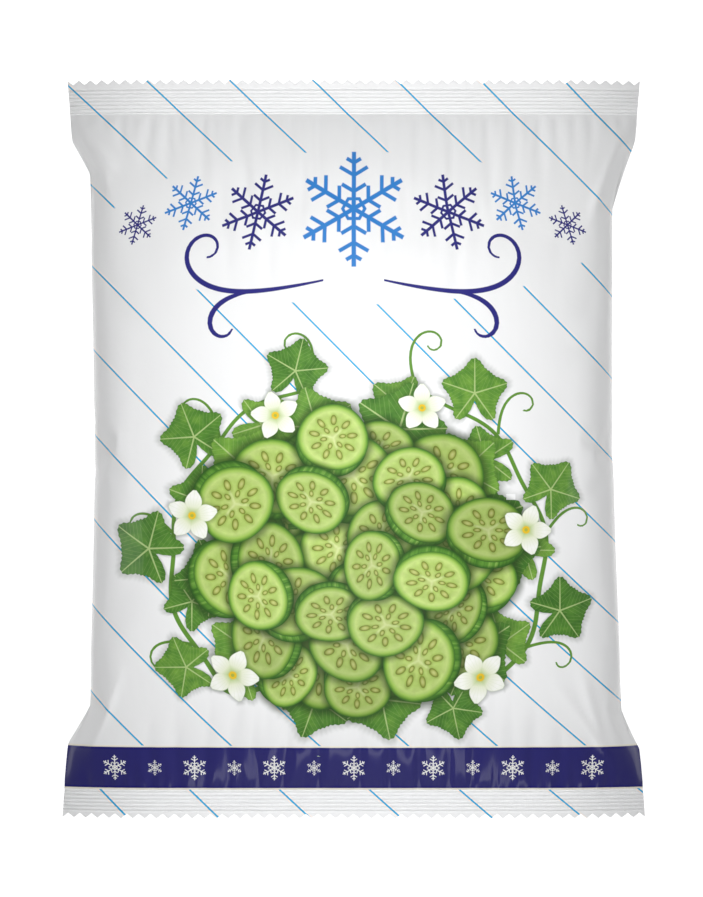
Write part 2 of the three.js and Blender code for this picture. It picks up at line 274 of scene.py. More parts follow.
class FilmShape(bpy.types.PropertyGroup):
    """Sizes of the filled film bag"""

    flat_width: metres("Flat width", "Width of the film tube laid flat", CAD_HIGH.x - CAD_LOW.x)
    length: metres("Length", "From tooth tip to tooth tip", CAD_HIGH.y - CAD_LOW.y)
    crown: metres("Crown", "Height of the filled bag over the table", CAD_HIGH.z - SETTLE_RISE)
    end_slack: number("End slack", "Spare film beside the seals", 0.022, 0.001, 0.1)
    side_slack: number("Side slack", "Spare film along the sides", 0.008, 0.001, 0.1)
    pressure: number("Pressure", "Air pressure that the film settles under", 3.0, 0, 20)
    fin_room: metres("Fin room", "Height of the hollow that the fin seal lies in", 0.0006)
    fin_thickness: metres("Fin thickness", "Thickness of the fin seal's two layers", 0.0002)
    lump_height: metres("Lump height", "How far the gourds press the film out", 0.0005)
    crease_height: metres("Crease height", "Height of the creases in the ears", 0.0011)
    seal_height: metres("Seal height", "Height of the end seals over the table", 0.013)
    droop: metres("Droop", "How far the corners hang below the middle of the seals", 0.0075)
    fold_height: metres("Fold height", "Height of the side folds at mid length", 0.016)
    top_seal: metres("Top seal", "Depth of the top seal", 0.0113)
    bottom_seal: metres("Bottom seal", "Depth of the bottom seal", 0.0093)
    waist: metres("Waist", "Half width of the waist", 0.0868)
    top_shoulder: metres("Top shoulder", "Half width at the outer end of the top ears", 0.0916)
    bottom_shoulder: metres("Bottom shoulder", "Half width at the outer end of the bottom ears", 0.0932)
    tooth: metres("Tooth", "Depth of the pinked teeth", 0.0015)
    ridge_pitch: metres("Ridge pitch", "Spacing of the crimp ridges", 0.0012)
    ridge_height: metres("Ridge height", "Height of the crimp ridges", 0.00042)


class GourdShape(bpy.types.PropertyGroup):
    """Sizes of a gourd half"""

    length: metres("Length", "From tip to tip", 0.054)
    radius: metres("Radius", "Half width at the middle", 0.0108)
    bow: metres("Bow", "How far the tips bow to one side", 0.0016)
    hollow: metres("Hollow", "Depth of the seed core below the cut", 0.0006)
    fullness: number("Fullness", "How blunt the tips are", 3.5, 2, 8)
    taper: number("Taper", "How much slimmer one tip is", 0.1, 0, 0.5)


class PrintColours(bpy.types.PropertyGroup):
    """Inks and finishes of the bag"""

    film: ink("Film", "White film", (0.90, 0.905, 0.91, 1))
    stripe: ink("Stripe", "Thin slanting stripes", (0.0, 0.40, 0.72, 1))
    halo: ink("Halo", "Pale lines beside each stripe", (1.0, 0.90, 0.84, 1))
    band: ink("Band", "Band over the bottom seal", (0.016, 0.014, 0.145, 1))
    cream: ink("Cream", "Lines beside the band", (0.90, 0.86, 0.74, 1))


class StageLook(bpy.types.PropertyGroup):
    """The table, lights and camera"""

    table: ink("Table", "Colour of the table", (0.6, 0.6, 0.6, 1))
    table_glow: number("Table glow", "Light that comes up through the table", 0.7, 0, 2)
    table_white: number("Table white", "Further glow that only the camera sees", 0.3, 0, 2)
    camera_height: metres("Camera height", "Height of the camera over the seals", 1.6)


class NodeSheet:
    """Lays nodes in one tree: each input is a number, a colour or the output of another node"""

    def __init__(self, tree):
        self.tree = tree

    def feed(self, socket, value):
        if isinstance(value, bpy.types.NodeSocket):
            self.tree.links.new(value, socket)
        elif value is not None:
            socket.default_value = value

    def node(self, kind, *inputs, **settings):
        made = self.tree.nodes.new(kind)
        for key, value in settings.items():
            setattr(made, key, value)
        for socket, value in zip(made.inputs, inputs):
            self.feed(socket, value)
        return made

    def math(self, operation, *values):
        return self.node("ShaderNodeMath", *values, operation=operation).outputs[0]

    def add(self, a, b):
        return self.math("ADD", a, b)

    def minus(self, a, b):
        return self.math("SUBTRACT", a, b)

    def times(self, a, b):
        return self.math("MULTIPLY", a, b)

    def scale_add(self, value, factor, more):
        return self.math("MULTIPLY_ADD", value, factor, more)

    def least(self, a, b):
        return self.math("MINIMUM", a, b)

    def most(self, a, b):
        return self.math("MAXIMUM", a, b)

    def size(self, value):
        return self.math("ABSOLUTE", value)

    def part(self, value):
        return self.math("FRACT", value)

    def sine(self, angle):
        return self.math("SINE", angle)

    def cosine(self, angle):
        return self.math("COSINE", angle)

    def length(self, a, b):
        """How far a place is from the middle"""
        return self.math("SQRT", self.add(self.times(a, a), self.times(b, b)))

    def ease(self, value, start, end):
        """0 before start and 1 past end, with a soft step between, or the other way round"""
        low, high = min(start, end), max(start, end)
        made = self.node("ShaderNodeMapRange", value, low, high, interpolation_type="SMOOTHSTEP")
        made.inputs["To Min"].default_value = float(start > end)
        made.inputs["To Max"].default_value = float(start < end)
        return made.outputs[0]

    def inside(self, value, limit, soft):
        """1 where a value is under a limit, with a soft edge"""
        return self.ease(value, limit + soft, limit - soft)

    def mix(self, share, under, over, blend="MIX"):
        made = self.node("ShaderNodeMix", data_type="RGBA", blend_type=blend)
        self.feed(made.inputs[0], share)
        self.feed(made.inputs[6], under)
        self.feed(made.inputs[7], over)
        return made.outputs[2]

    def ramp(self, value, stops):
        made = self.node("ShaderNodeValToRGB", value)
        elements = made.color_ramp.elements
        while len(elements) < len(stops):
            elements.new(0.5)
        for element, (place, colour) in zip(elements, stops):
            element.position = place
            element.color = (*colour, 1)
        return made.outputs[0]

    def split(self, vector):
        return self.node("ShaderNodeSeparateXYZ", vector).outputs

    def noise(self, vector, scale, detail=2.0, roughness=0.5):
        made = self.node("ShaderNodeTexNoise")
        self.feed(made.inputs["Vector"], vector)
        made.inputs["Scale"].default_value = scale
        made.inputs["Detail"].default_value = detail
        made.inputs["Roughness"].default_value = roughness
        return made.outputs[0]

    def bump(self, height, strength, distance):
        made = self.node("ShaderNodeBump")
        self.feed(made.inputs["Height"], height)
        made.inputs["Strength"].default_value = strength
        made.inputs["Distance"].default_value = distance
        return made.outputs[0]


def new_material(name):
    """A material, the sheet to lay its nodes on, and the inputs of its shader"""
    material = bpy.data.materials.new(name)
    material.use_nodes = True
    shader = material.node_tree.nodes["Principled BSDF"]
    return material, NodeSheet(material.node_tree), shader.inputs


def new_motif(name, outputs):
    """A node group that draws a motif: the sheet to lay nodes on, the motif's local place and the outputs"""
    tree = bpy.data.node_groups.new(name, "ShaderNodeTree")
    tree.interface.new_socket(name="Place", in_out="INPUT", socket_type="NodeSocketVector")
    for socket, kind in outputs.items():
        tree.interface.new_socket(name=socket, in_out="OUTPUT", socket_type="NodeSocket" + kind)
    entry = tree.nodes.new("NodeGroupInput")
    leave = tree.nodes.new("NodeGroupOutput")
    return NodeSheet(tree), entry.outputs["Place"], leave.inputs


def polar(sheet, place, turn=None):
    """Radius and angle of a motif's local place, turned by a share of a full turn"""
    u, v, tint = sheet.split(place)
    radius = sheet.length(u, v)
    angle = sheet.math("ARCTAN2", u, v)
    if turn:
        angle = sheet.scale_add(tint, turn * math.tau, angle)
    return radius, angle, tint


def fold_angle(sheet, angle, count):
    """The angle from the nearest of a number of evenly spread spokes"""
    turns = sheet.scale_add(angle, count / math.tau, 100.5)
    return sheet.times(sheet.minus(sheet.part(turns), 0.5), math.tau / count)


def printed_slice():
    """A round slice of gourd, seen a little from the side: skin, flesh and seeds in a ring"""
    sheet, place, leave = new_motif("printed slice", MOTIF_OUTPUTS)
    radius, angle, tint = polar(sheet, place, turn=3.7)
    wave = sheet.times(sheet.sine(sheet.times(angle, 3.0)), 0.022)
    rim = sheet.times(radius, sheet.add(wave, 1.0))
    mottle = sheet.noise(place, 5.0, 3.0, 0.6)
    flesh = sheet.ramp(
        sheet.scale_add(mottle, 0.05, rim),
        (
            (0.0, (0.50, 0.58, 0.22)),
            (0.30, (0.42, 0.54, 0.15)),
            (0.62, (0.38, 0.52, 0.13)),
            (0.80, (0.47, 0.60, 0.19)),
            (0.90, (0.31, 0.49, 0.09)),
            (0.965, (0.13, 0.29, 0.03)),
            (1.0, (0.05, 0.15, 0.02)),
        ),
    )
    spokes = sheet.size(sheet.times(sheet.sine(fold_angle(sheet, angle, 3)), radius))
    web = sheet.times(sheet.ease(spokes, 0.06, 0.0), sheet.ease(radius, 0.75, 0.45))
    colour = sheet.mix(sheet.times(web, 0.55), flesh, (0.62, 0.69, 0.34, 1))
    for count, middle, long, wide, start in SLICE_SEEDS:
        turned = fold_angle(sheet, sheet.add(angle, start), count)
        along = sheet.times(sheet.minus(radius, middle), 1 / long)
        across = sheet.times(sheet.times(sheet.sine(turned), radius), 1 / wide)
        reach = sheet.length(along, across)
        gel = sheet.ease(reach, 1.7, 1.0)
        colour = sheet.mix(sheet.times(gel, 0.55), colour, (0.27, 0.38, 0.06, 1))
        seed = sheet.ramp(
            reach,
            (
                (0.0, (0.50, 0.53, 0.20)),
                (0.45, (0.40, 0.44, 0.12)),
                (0.72, (0.24, 0.28, 0.05)),
                (0.95, (0.13, 0.17, 0.02)),
            ),
        )
        colour = sheet.mix(sheet.inside(reach, 1.0, 0.08), colour, seed)
    bright = sheet.scale_add(tint, 0.30, 0.82)
    light = sheet.times(bright, sheet.scale_add(mottle, 0.4, 0.8))
    light = sheet.node("ShaderNodeCombineColor", light, light, light).outputs[0]
    colour = sheet.mix(1.0, colour, light, "MULTIPLY")
    top = sheet.ease(rim, 1.0, 0.982)

    u, v, _ = sheet.split(place)
    lower = sheet.add(v, SLICE_THICKNESS)
    around = sheet.length(u, lower)
    side = sheet.inside(around, 0.99, 0.01)
    streak = sheet.noise(sheet.node("ShaderNodeCombineXYZ", u, 0.0, tint).outputs[0], 9.0, 2.0, 0.6)
    skin = sheet.ramp(
        streak,
        (
            (0.3, (0.035, 0.13, 0.012)),
            (0.55, (0.10, 0.27, 0.03)),
            (0.75, (0.24, 0.42, 0.08)),
        ),
    )
    skin = sheet.mix(sheet.ease(around, 0.86, 1.0), skin, (0.02, 0.08, 0.01, 1))
    sheet.feed(leave["Color"], sheet.mix(top, skin, colour))
    sheet.feed(leave["Mask"], sheet.most(top, side))
    sheet.feed(leave["Shade"], sheet.ease(sheet.least(rim, around), 1.26, 0.96))
    return sheet.tree


def printed_leaf():
    """A five-lobed leaf with a toothed edge and pale veins"""
    sheet, place, leave = new_motif("printed leaf", MOTIF_OUTPUTS)
    radius, angle, tint = polar(sheet, place)
    lobes = 0.80
    for count, depth in LEAF_LOBES:
        lobes = sheet.scale_add(sheet.cosine(sheet.times(angle, count)), depth, lobes)
    lobes = sheet.scale_add(sheet.sine(sheet.times(angle, 47.0)), 0.012, lobes)
    notch = sheet.ease(sheet.size(angle), math.pi - 0.45, math.pi)
    lobes = sheet.scale_add(notch, -0.42, lobes)
    edge = sheet.minus(radius, lobes)
    turned = fold_angle(sheet, angle, 5)
    off_vein = sheet.times(sheet.size(sheet.sine(turned)), radius)
    on_vein = sheet.times(sheet.cosine(turned), radius)
    vein = sheet.ease(sheet.scale_add(on_vein, 0.012, off_vein), 0.030, 0.014)
    branch = sheet.part(sheet.scale_add(off_vein, -7.0, sheet.times(on_vein, 8.0)))
    branch = sheet.ease(sheet.size(sheet.minus(branch, 0.5)), 0.09, 0.02)
    mottle = sheet.noise(place, 3.0, 4.0, 0.6)
    colour = sheet.ramp(
        sheet.scale_add(mottle, 0.8, sheet.times(tint, 0.35)),
        (
            (0.25, (0.030, 0.12, 0.014)),
            (0.55, (0.085, 0.235, 0.030)),
            (0.9, (0.22, 0.42, 0.06)),
        ),
    )
    colour = sheet.mix(sheet.times(sheet.ease(edge, -0.05, 0.0), 0.5), colour, (0.03, 0.10, 0.012, 1))
    colour = sheet.mix(sheet.times(branch, 0.28), colour, (0.36, 0.52, 0.16, 1))
    colour = sheet.mix(sheet.times(vein, 0.85), colour, (0.46, 0.60, 0.24, 1))
    sheet.feed(leave["Color"], colour)
    sheet.feed(leave["Mask"], sheet.ease(edge, 0.0, -0.018))
    sheet.feed(leave["Shade"], sheet.ease(edge, 0.22, -0.02))
    return sheet.tree


def printed_blossom():
    """A white five-petalled flower with a yellow heart"""
    sheet, place, leave = new_motif("printed blossom", MOTIF_OUTPUTS)
    radius, angle, _ = polar(sheet, place, turn=0.2)
    turned = fold_angle(sheet, angle, 5)
    across = sheet.size(sheet.times(sheet.sine(turned), radius))
    along = sheet.times(sheet.cosine(turned), radius)
    width = sheet.sine(sheet.times(sheet.least(along, 1.0), math.pi * 0.97))
    width = sheet.times(width, 0.33)
    edge = sheet.minus(across, sheet.most(width, 0.0))
    edge = sheet.least(edge, sheet.minus(radius, 0.24))
    edge = sheet.most(edge, sheet.minus(radius, 0.97))
    vein = sheet.size(sheet.sine(sheet.times(turned, 16.0)))
    colour = sheet.ramp(
        along,
        (
            (0.1, (0.44, 0.58, 0.18)),
            (0.34, (0.80, 0.84, 0.66)),
            (0.7, (0.92, 0.93, 0.88)),
            (1.0, (0.86, 0.89, 0.80)),
        ),
    )
    colour = sheet.mix(sheet.times(sheet.ease(vein, 0.35, 0.0), 0.25), colour, (0.55, 0.66, 0.38, 1))
    colour = sheet.mix(sheet.ease(edge, -0.045, 0.0), colour, (0.62, 0.70, 0.50, 1))
    colour = sheet.mix(sheet.ease(radius, 0.17, 0.12), colour, (0.80, 0.52, 0.02, 1))
    colour = sheet.mix(sheet.ease(radius, 0.075, 0.05), colour, (0.42, 0.45, 0.06, 1))
    sheet.feed(leave["Color"], colour)
    sheet.feed(leave["Mask"], sheet.ease(edge, 0.0, -0.02))
    sheet.feed(leave["Shade"], sheet.ease(edge, 0.2, -0.02))
    return sheet.tree


def printed_snowflake():
    """A six-armed snowflake with three pairs of twigs on each arm"""
    outputs = {"Mask": "Float", "Tint": "Float"}
    sheet, place, leave = new_motif("printed snowflake", outputs)
    radius, angle, tint = polar(sheet, place)
    turned = fold_angle(sheet, angle, 6)
    x = sheet.times(sheet.cosine(turned), radius)
    y = sheet.size(sheet.times(sheet.sine(turned), radius))
    mask = sheet.times(sheet.ease(y, 0.048, 0.030), sheet.ease(x, 1.0, 0.985))
    c, s = math.cos(TWIG_ANGLE), math.sin(TWIG_ANGLE)
    for root, length in FLAKE_TWIGS:
        ahead = sheet.minus(x, root)
        on = sheet.scale_add(y, s, sheet.times(ahead, c))
        off = sheet.size(sheet.scale_add(y, -c, sheet.times(ahead, s)))
        twig = sheet.times(sheet.ease(off, 0.042, 0.026), sheet.ease(on, length, length - 0.02))
        mask = sheet.most(mask, twig)
    ring = sheet.ease(sheet.size(sheet.minus(x, 0.17)), 0.036, 0.020)
    sheet.feed(leave["Mask"], sheet.most(mask, ring))
    sheet.feed(leave["Tint"], tint)
    return sheet.tree


def flat_place(sheet):
    """Place on the flat film in millimetres, from the middle of the front"""
    u, v, _ = sheet.split(sheet.node("ShaderNodeUVMap", uv_map=FILM_MAP).outputs[0])
    across, along = web_size()
    return sheet.times(sheet.add(u, -0.5), across), sheet.times(sheet.add(v, -0.5), along)


def web_size():
    """Millimetres of flat film that the whole map covers, round the tube and along it"""
    shape = bpy.context.scene.film_shape
    return np.array((2 * shape.flat_width, shape.length)) / MM / MAP_SHARE


def motif(at, turn, size, tint, squash=1.0):
    """A printed motif: its middle, its turn, its half sizes along and across, and its tint"""
    return {"at": np.array(at), "turn": turn, "size": (size, size * squash), "tint": tint}


def pointing(at, outward, size, tint):
    """A leaf whose tip points along a direction"""
    return motif(at, math.atan2(-outward[0], outward[1]), size, tint)


def heap_of_slices():
    """Slices spread over a round heap in a golden-angle spiral, shuffled from the lowest to the topmost"""
    draw = random.Random(HEAP_SEED)
    slices = []
    for n in range(HEAP_SLICES):
        reach = HEAP_RADIUS * math.sqrt((n + 0.5) / HEAP_SLICES)
        turn = n * GOLDEN_ANGLE
        at = (HEAP_AT[0] + reach * math.cos(turn), HEAP_AT[1] + reach * math.sin(turn))
        tilt = draw.uniform(0, math.tau)
        size = draw.uniform(*SLICE_SIZES)
        tint = draw.random()
        slices.append(motif(at, tilt, size, tint, draw.uniform(*SLICE_SQUASH)))
    draw.shuffle(slices)
    return slices


def trail(start, heading, length, bend):
    """Points of a line that turns as it goes, in even steps: bend gives its turn in radians per millimetre"""
    share = np.linspace(0, 1, round(length / TRAIL_STEP))
    headings = heading + np.cumsum(bend(share)) * TRAIL_STEP
    steps = TRAIL_STEP * np.column_stack((np.cos(headings), np.sin(headings)))
    return start + np.cumsum(steps, axis=0)


def vine(side):
    """The wreath's stem on one side of the heap, from its foot under the heap up round to its top"""
    share = np.linspace(0, 1, round(WREATH_RADIUS * VINE_SWEEP / TRAIL_STEP))
    turn = VINE_FOOT + VINE_SWEEP * share
    tucked = VINE_TUCK * (1 - smooth(share / VINE_TUCK_SHARE))
    reach = WREATH_RADIUS - tucked + VINE_WAVE * np.sin(share * VINE_WAVES * math.tau + side)
    return np.column_stack((side * reach * np.cos(turn), reach * np.sin(turn))) + HEAP_AT


def beside(line, share, hand):
    """A place on a line, its direction there, and the direction square to it on the left or the right"""
    n = round(share * (len(line) - 1))
    ahead = line[min(n + 1, len(line) - 1)] - line[max(n - 1, 0)]
    ahead = ahead / np.linalg.norm(ahead)
    return line[n], ahead, hand * np.array((-ahead[1], ahead[0]))


def spoke(turn):
    """The direction at a turn from the right"""
    return np.array((math.cos(turn), math.sin(turn)))


def printed_leaves():
    """Leaves under the heap and round its rim, and those along the vines"""
    draw = random.Random(LEAF_SEED)
    leaves = []
    for n in range(BED_LEAVES):
        reach = HEAP_RADIUS * math.sqrt((n + 0.5) / BED_SPREAD)
        out = spoke(n * GOLDEN_ANGLE)
        leaves.append(pointing(HEAP_AT + reach * out, out, BED_LEAF_SIZE, 0.1))
    for side in (-1, 1):
        line = vine(side)
        for n in range(VINE_LEAVES):
            root, ahead, out = beside(line, (n + 0.6) / VINE_LEAVES, 1 if n % 2 else -1)
            lean = out + 0.5 * ahead
            lean = lean / np.linalg.norm(lean)
            size = draw.uniform(*VINE_LEAF_SIZES)
            leaves.append(pointing(root + 0.72 * size * lean, lean, size, draw.random()))
    for n in range(RIM_LEAVES):
        out = spoke((n + draw.uniform(-0.2, 0.2)) * math.tau / RIM_LEAVES)
        at = HEAP_AT + (HEAP_RADIUS + draw.uniform(0, 3)) * out
        leaves.append(pointing(at, out, draw.uniform(*RIM_LEAF_SIZES), draw.random()))
    return leaves


def printed_lines():
    """The vines with their tendrils, and the scrolls under the snowflakes: points, half widths and tint"""
    lines = []
    for side in (-1, 1):
        stem = vine(side)
        lines.append({"points": stem, "widths": np.linspace(1.0, 0.6, len(stem)), "tint": GREEN})
        for share, length in TENDRILS:
            root, ahead, out = beside(stem, share, -side)
            lean = ahead + 0.9 * out
            heading = math.atan2(lean[1], lean[0])
            curl = trail(root, heading, length, lambda share: -side * (0.02 + 0.5 * share**2))
            lines.append({"points": curl, "widths": np.linspace(0.6, 0.3, len(curl)), "tint": GREEN})
        scroll = trail(SCROLL_AT, SCROLL_HEADING, SCROLL_LENGTH, lambda share: 0.004 + 0.34 * share**3)
        root, ahead, _ = beside(scroll, BRANCH_SHARE, 1)
        heading = math.atan2(ahead[1], ahead[0])
        branch = trail(root, heading, BRANCH_LENGTH, lambda share: -0.03 - 0.33 * share**2)
        for points in (scroll, branch):
            widths = 0.35 + 0.6 * np.sin(np.linspace(0, 1, len(points)) * math.pi)
            lines.append({"points": points * (side, 1), "widths": widths, "tint": NAVY})
    return lines


def printed_blossoms():
    """Blossoms on the wreath"""
    blossoms = []
    for n, degrees in enumerate(BLOSSOM_TURNS):
        at = HEAP_AT + (WREATH_RADIUS - BLOSSOM_INSET) * spoke(math.radians(degrees))
        blossoms.append(motif(at, 0.7 * n, BLOSSOM_SIZE + 0.5 * (n % 3), 0.17 * n))
    return blossoms


def printed_snowflakes():
    """Snowflakes across the top of the front, and a row of them on the band"""
    flakes = [motif(*MIDDLE_FLAKE)]
    for side in (-1, 1):
        for x, y, size, tint in SIDE_FLAKES:
            flakes.append(motif((side * x, y), 0.15 * side, size, tint))
    for n in range(BAND_FLAKES):
        at = (BAND_FLAKE_STEP * (n - BAND_FLAKES // 2), sum(BAND) / 2)
        flakes.append(motif(at, 0.0, BAND_FLAKE_SIZES[n % 2], WHITE))
    return flakes


def face_places(corners, motifs, slots, margin):
    """Local places of the motifs near each face, the topmost first, for as many as there are slots"""
    middles = corners.mean(axis=1)
    places = np.full((slots, *corners.shape[:2], 3), FAR_OFF, np.float32)
    used = np.zeros(len(corners), int)
    for one in reversed(motifs):
        reach = max(one["size"]) * margin
        near = np.hypot(*(middles - one["at"]).T) < reach
        chosen = np.flatnonzero(near & (used < slots))
        c, s = math.cos(one["turn"]), math.sin(one["turn"])
        offset = corners[chosen] - one["at"]
        places[used[chosen], chosen, :, 0] = (c * offset[..., 0] + s * offset[..., 1]) / one["size"][0]
        places[used[chosen], chosen, :, 1] = (c * offset[..., 1] - s * offset[..., 0]) / one["size"][1]
        places[used[chosen], chosen, :, 2] = one["tint"]
        used[chosen] += 1
    return places


def line_places(corners, lines, slots):
    """Each corner's distance from the lines near its face, in half widths of the line, and the line's tint"""
    middles = corners.mean(axis=1)
    places = np.full((slots, *corners.shape[:2], 3), FAR_OFF, np.float32)
    used = np.zeros(len(corners), int)
    for line in lines:
        points = line["points"]
        ahead = np.gradient(points, axis=0)
        ahead /= np.linalg.norm(ahead, axis=1, keepdims=True)
        boxed = (middles > points.min(axis=0) - LINE_REACH) & (middles < points.max(axis=0) + LINE_REACH)
        near = np.flatnonzero(boxed.all(axis=1) & (used < slots))
        gap = np.linalg.norm(middles[near, None] - points, axis=2)
        chosen = near[gap.min(axis=1) < LINE_REACH]
        at = gap[gap.min(axis=1) < LINE_REACH].argmin(axis=1)
        around = np.clip(at[:, None] + np.arange(-LINE_WINDOW, LINE_WINDOW + 1), 0, len(points) - 1)
        far = np.linalg.norm(corners[chosen][:, :, None] - points[around][:, None], axis=3)
        closest = np.take_along_axis(around, far.argmin(axis=2), axis=1)
        offset = corners[chosen] - points[closest]
        square = ahead[closest, 0] * offset[..., 1] - ahead[closest, 1] * offset[..., 0]
        past = ((middles[chosen] - points[at]) * ahead[at]).sum(axis=1)
        ended = ((at == 0) & (past < 0)) | ((at == len(points) - 1) & (past > 0))
        distance = np.where(ended[:, None], np.linalg.norm(offset, axis=2), square)
        places[used[chosen], chosen, :, 0] = distance / line["widths"][closest]
        places[used[chosen], chosen, :, 1] = line["tint"]
        used[chosen] += 1
    return places


def stripe_way(corners, places):
    """How far across the bag each corner is: as seen from the front, and behind it as on the flat film"""
    half = bpy.context.scene.film_shape.flat_width / 2 / MM
    flat = corners[..., 0]
    x, y, _ = np.moveaxis(places, -1, 0)
    x = x * (1 - np.polyval(STRIPE_SPREAD, y))
    way = x
    for side in (-1, 1):
        fold = np.isclose(flat, side * half, atol=0.01)
        order = y[fold].argsort()
        edge = np.interp(y, y[fold][order], x[fold][order])
        near_fold = 1 - smooth((side * flat - half) / STRIPE_TURN)
        way = np.where(side * flat > half, flat + (edge - side * half) * near_fold, way)
    return way


def lay_out_print(film):
    """Gives each face corner of the film its place across the stripes and in the motifs around it"""
    mesh = film.data
    uv = np.empty(2 * len(mesh.loops), np.float32)
    mesh.uv_layers[FILM_MAP].data.foreach_get("uv", uv)
    corners = (uv.reshape(-1, 4, 2) - 0.5) * web_size()
    co = np.empty(3 * len(mesh.vertices))
    mesh.vertices.foreach_get("co", co)
    vertex = np.empty(len(mesh.loops), int)
    mesh.loops.foreach_get("vertex_index", vertex)
    places = co.reshape(-1, 3)[vertex].reshape(-1, 4, 3) / MM
    way = mesh.attributes.new("stripe_way", "FLOAT", "CORNER")
    way.data.foreach_set("value", stripe_way(corners, places).ravel().astype(np.float32))
    layers = {
        "line": line_places(corners, printed_lines(), LINE_SLOTS),
        "leaf": face_places(corners, printed_leaves(), LEAF_SLOTS, LEAF_MARGIN),
        "slice": face_places(corners, heap_of_slices(), SLICE_SLOTS, SLICE_MARGIN),
        "blossom": face_places(corners, printed_blossoms(), 1, BLOSSOM_MARGIN),
        "snowflake": face_places(corners, printed_snowflakes(), 1, FLAKE_MARGIN),
    }
    for name, places in layers.items():
        for slot, values in enumerate(places):
            attribute = mesh.attributes.new(f"{name}_{slot}", "FLOAT_VECTOR", "CORNER")
            attribute.data.foreach_set("vector", values.ravel())


def read_places(sheet, name):
    """The corner attribute that holds a motif's local places"""
    return sheet.node("ShaderNodeAttribute", attribute_name=name).outputs["Vector"]


def with_stripes(sheet, colour, x, y):
    """The slanting stripes and their pale edges over a colour, outside the clear field at the top"""
    inks = bpy.context.scene.print_colours
    spacing = 2 * bpy.context.scene.film_shape.flat_width / MM / STRIPES_ROUND
    way = sheet.node("ShaderNodeAttribute", attribute_name="stripe_way").outputs["Fac"]
    across = sheet.scale_add(y, 1 / math.tan(STRIPE_ANGLE), way)
    turns = sheet.scale_add(across, 1 / spacing, 100.5 - STRIPE_PHASE / spacing)
    off = sheet.times(sheet.minus(sheet.part(turns), 0.5), spacing * math.sin(STRIPE_ANGLE))
    off = sheet.size(off)
    stripe = sheet.inside(off, STRIPE_WIDTH / 2, 0.04)
    halo = sheet.inside(sheet.size(sheet.add(off, -STRIPE_WIDTH)), STRIPE_WIDTH / 2, 0.12)
    clear_x = sheet.times(x, 1 / CLEAR_SIZE[0])
    clear_y = sheet.times(sheet.add(y, -CLEAR_AT), 1 / CLEAR_SIZE[1])
    shown = sheet.ease(sheet.length(clear_x, clear_y), 0.99, 1.01)
    colour = sheet.mix(sheet.times(sheet.times(halo, 0.9), shown), colour, inks.halo[:])
    return sheet.mix(sheet.times(stripe, shown), colour, inks.stripe[:])


def with_wreath(sheet, colour, x, y):
    """The bed of the heap, the lines, and the leaves, slices and blossoms with their shadows over a colour"""
    from_heap = sheet.length(sheet.add(x, -HEAP_AT[0]), sheet.add(y, -HEAP_AT[1]))
    bed = sheet.ease(from_heap, HEAP_RADIUS, HEAP_RADIUS - HEAP_EDGE)
    colour = sheet.mix(bed, colour, BED_INK)
    for slot in reversed(range(LINE_SLOTS)):
        off_line, line_tint, _ = sheet.split(read_places(sheet, f"line_{slot}"))
        on_line = sheet.ease(sheet.size(off_line), 1.0, 0.75)
        colour = sheet.mix(on_line, colour, sheet.ramp(line_tint, LINE_INKS))
    for prefix, group, slots, depth in (
        ("leaf", printed_leaf(), LEAF_SLOTS, 0.32),
        ("slice", printed_slice(), SLICE_SLOTS, 0.75),
        ("blossom", printed_blossom(), 1, 0.4),
    ):
        for slot in reversed(range(slots)):
            drawn = sheet.node("ShaderNodeGroup", node_tree=group)
            sheet.feed(drawn.inputs["Place"], read_places(sheet, f"{prefix}_{slot}"))
            colour = sheet.mix(sheet.times(drawn.outputs["Shade"], depth), colour, SHADE_INK)
            colour = sheet.mix(drawn.outputs["Mask"], colour, drawn.outputs["Color"])
    return colour


def with_band(sheet, colour, y):
    """The band with its edge lines, and all snowflakes over a colour"""
    inks = bpy.context.scene.print_colours
    half = (BAND[1] - BAND[0]) / 2
    away = sheet.size(sheet.add(y, -sum(BAND) / 2))
    colour = sheet.mix(sheet.inside(away, half + EDGE_LINE, 0.1), colour, inks.cream[:])
    rim = sheet.ease(away, half - BAND_RIM - 0.15, half - BAND_RIM + 0.15)
    band = sheet.mix(rim, inks.band[:], RIM_INK)
    colour = sheet.mix(sheet.inside(away, half, 0.1), colour, band)
    flake = sheet.node("ShaderNodeGroup", node_tree=printed_snowflake())
    sheet.feed(flake.inputs["Place"], read_places(sheet, "snowflake_0"))
    return sheet.mix(flake.outputs["Mask"], colour, sheet.ramp(flake.outputs["Tint"], FLAKE_INKS))


def with_vents(sheet, colour, x, y):
    """The pin vents over a colour, with a painted shade where each hole is, and the height of their rims"""
    along_row = sheet.add(x, -VENTS_AT[0])
    in_row = sheet.ease(sheet.size(along_row), VENT_PITCH * 1.5, VENT_PITCH * 1.4)
    from_vent = sheet.math("PINGPONG", along_row, VENT_PITCH / 2)
    from_vent = sheet.length(from_vent, sheet.add(y, -VENTS_AT[1]))
    rim = sheet.times(sheet.ease(from_vent, VENT_RADIUS * 1.9, VENT_RADIUS), in_row)
    # Painted shade: each vent hole is coloured dark, standing in for the shade inside the bag
    hole = sheet.times(sheet.ease(from_vent, VENT_RADIUS, VENT_RADIUS * 0.7), in_row)
    return sheet.mix(hole, colour, VENT_SHADE), rim


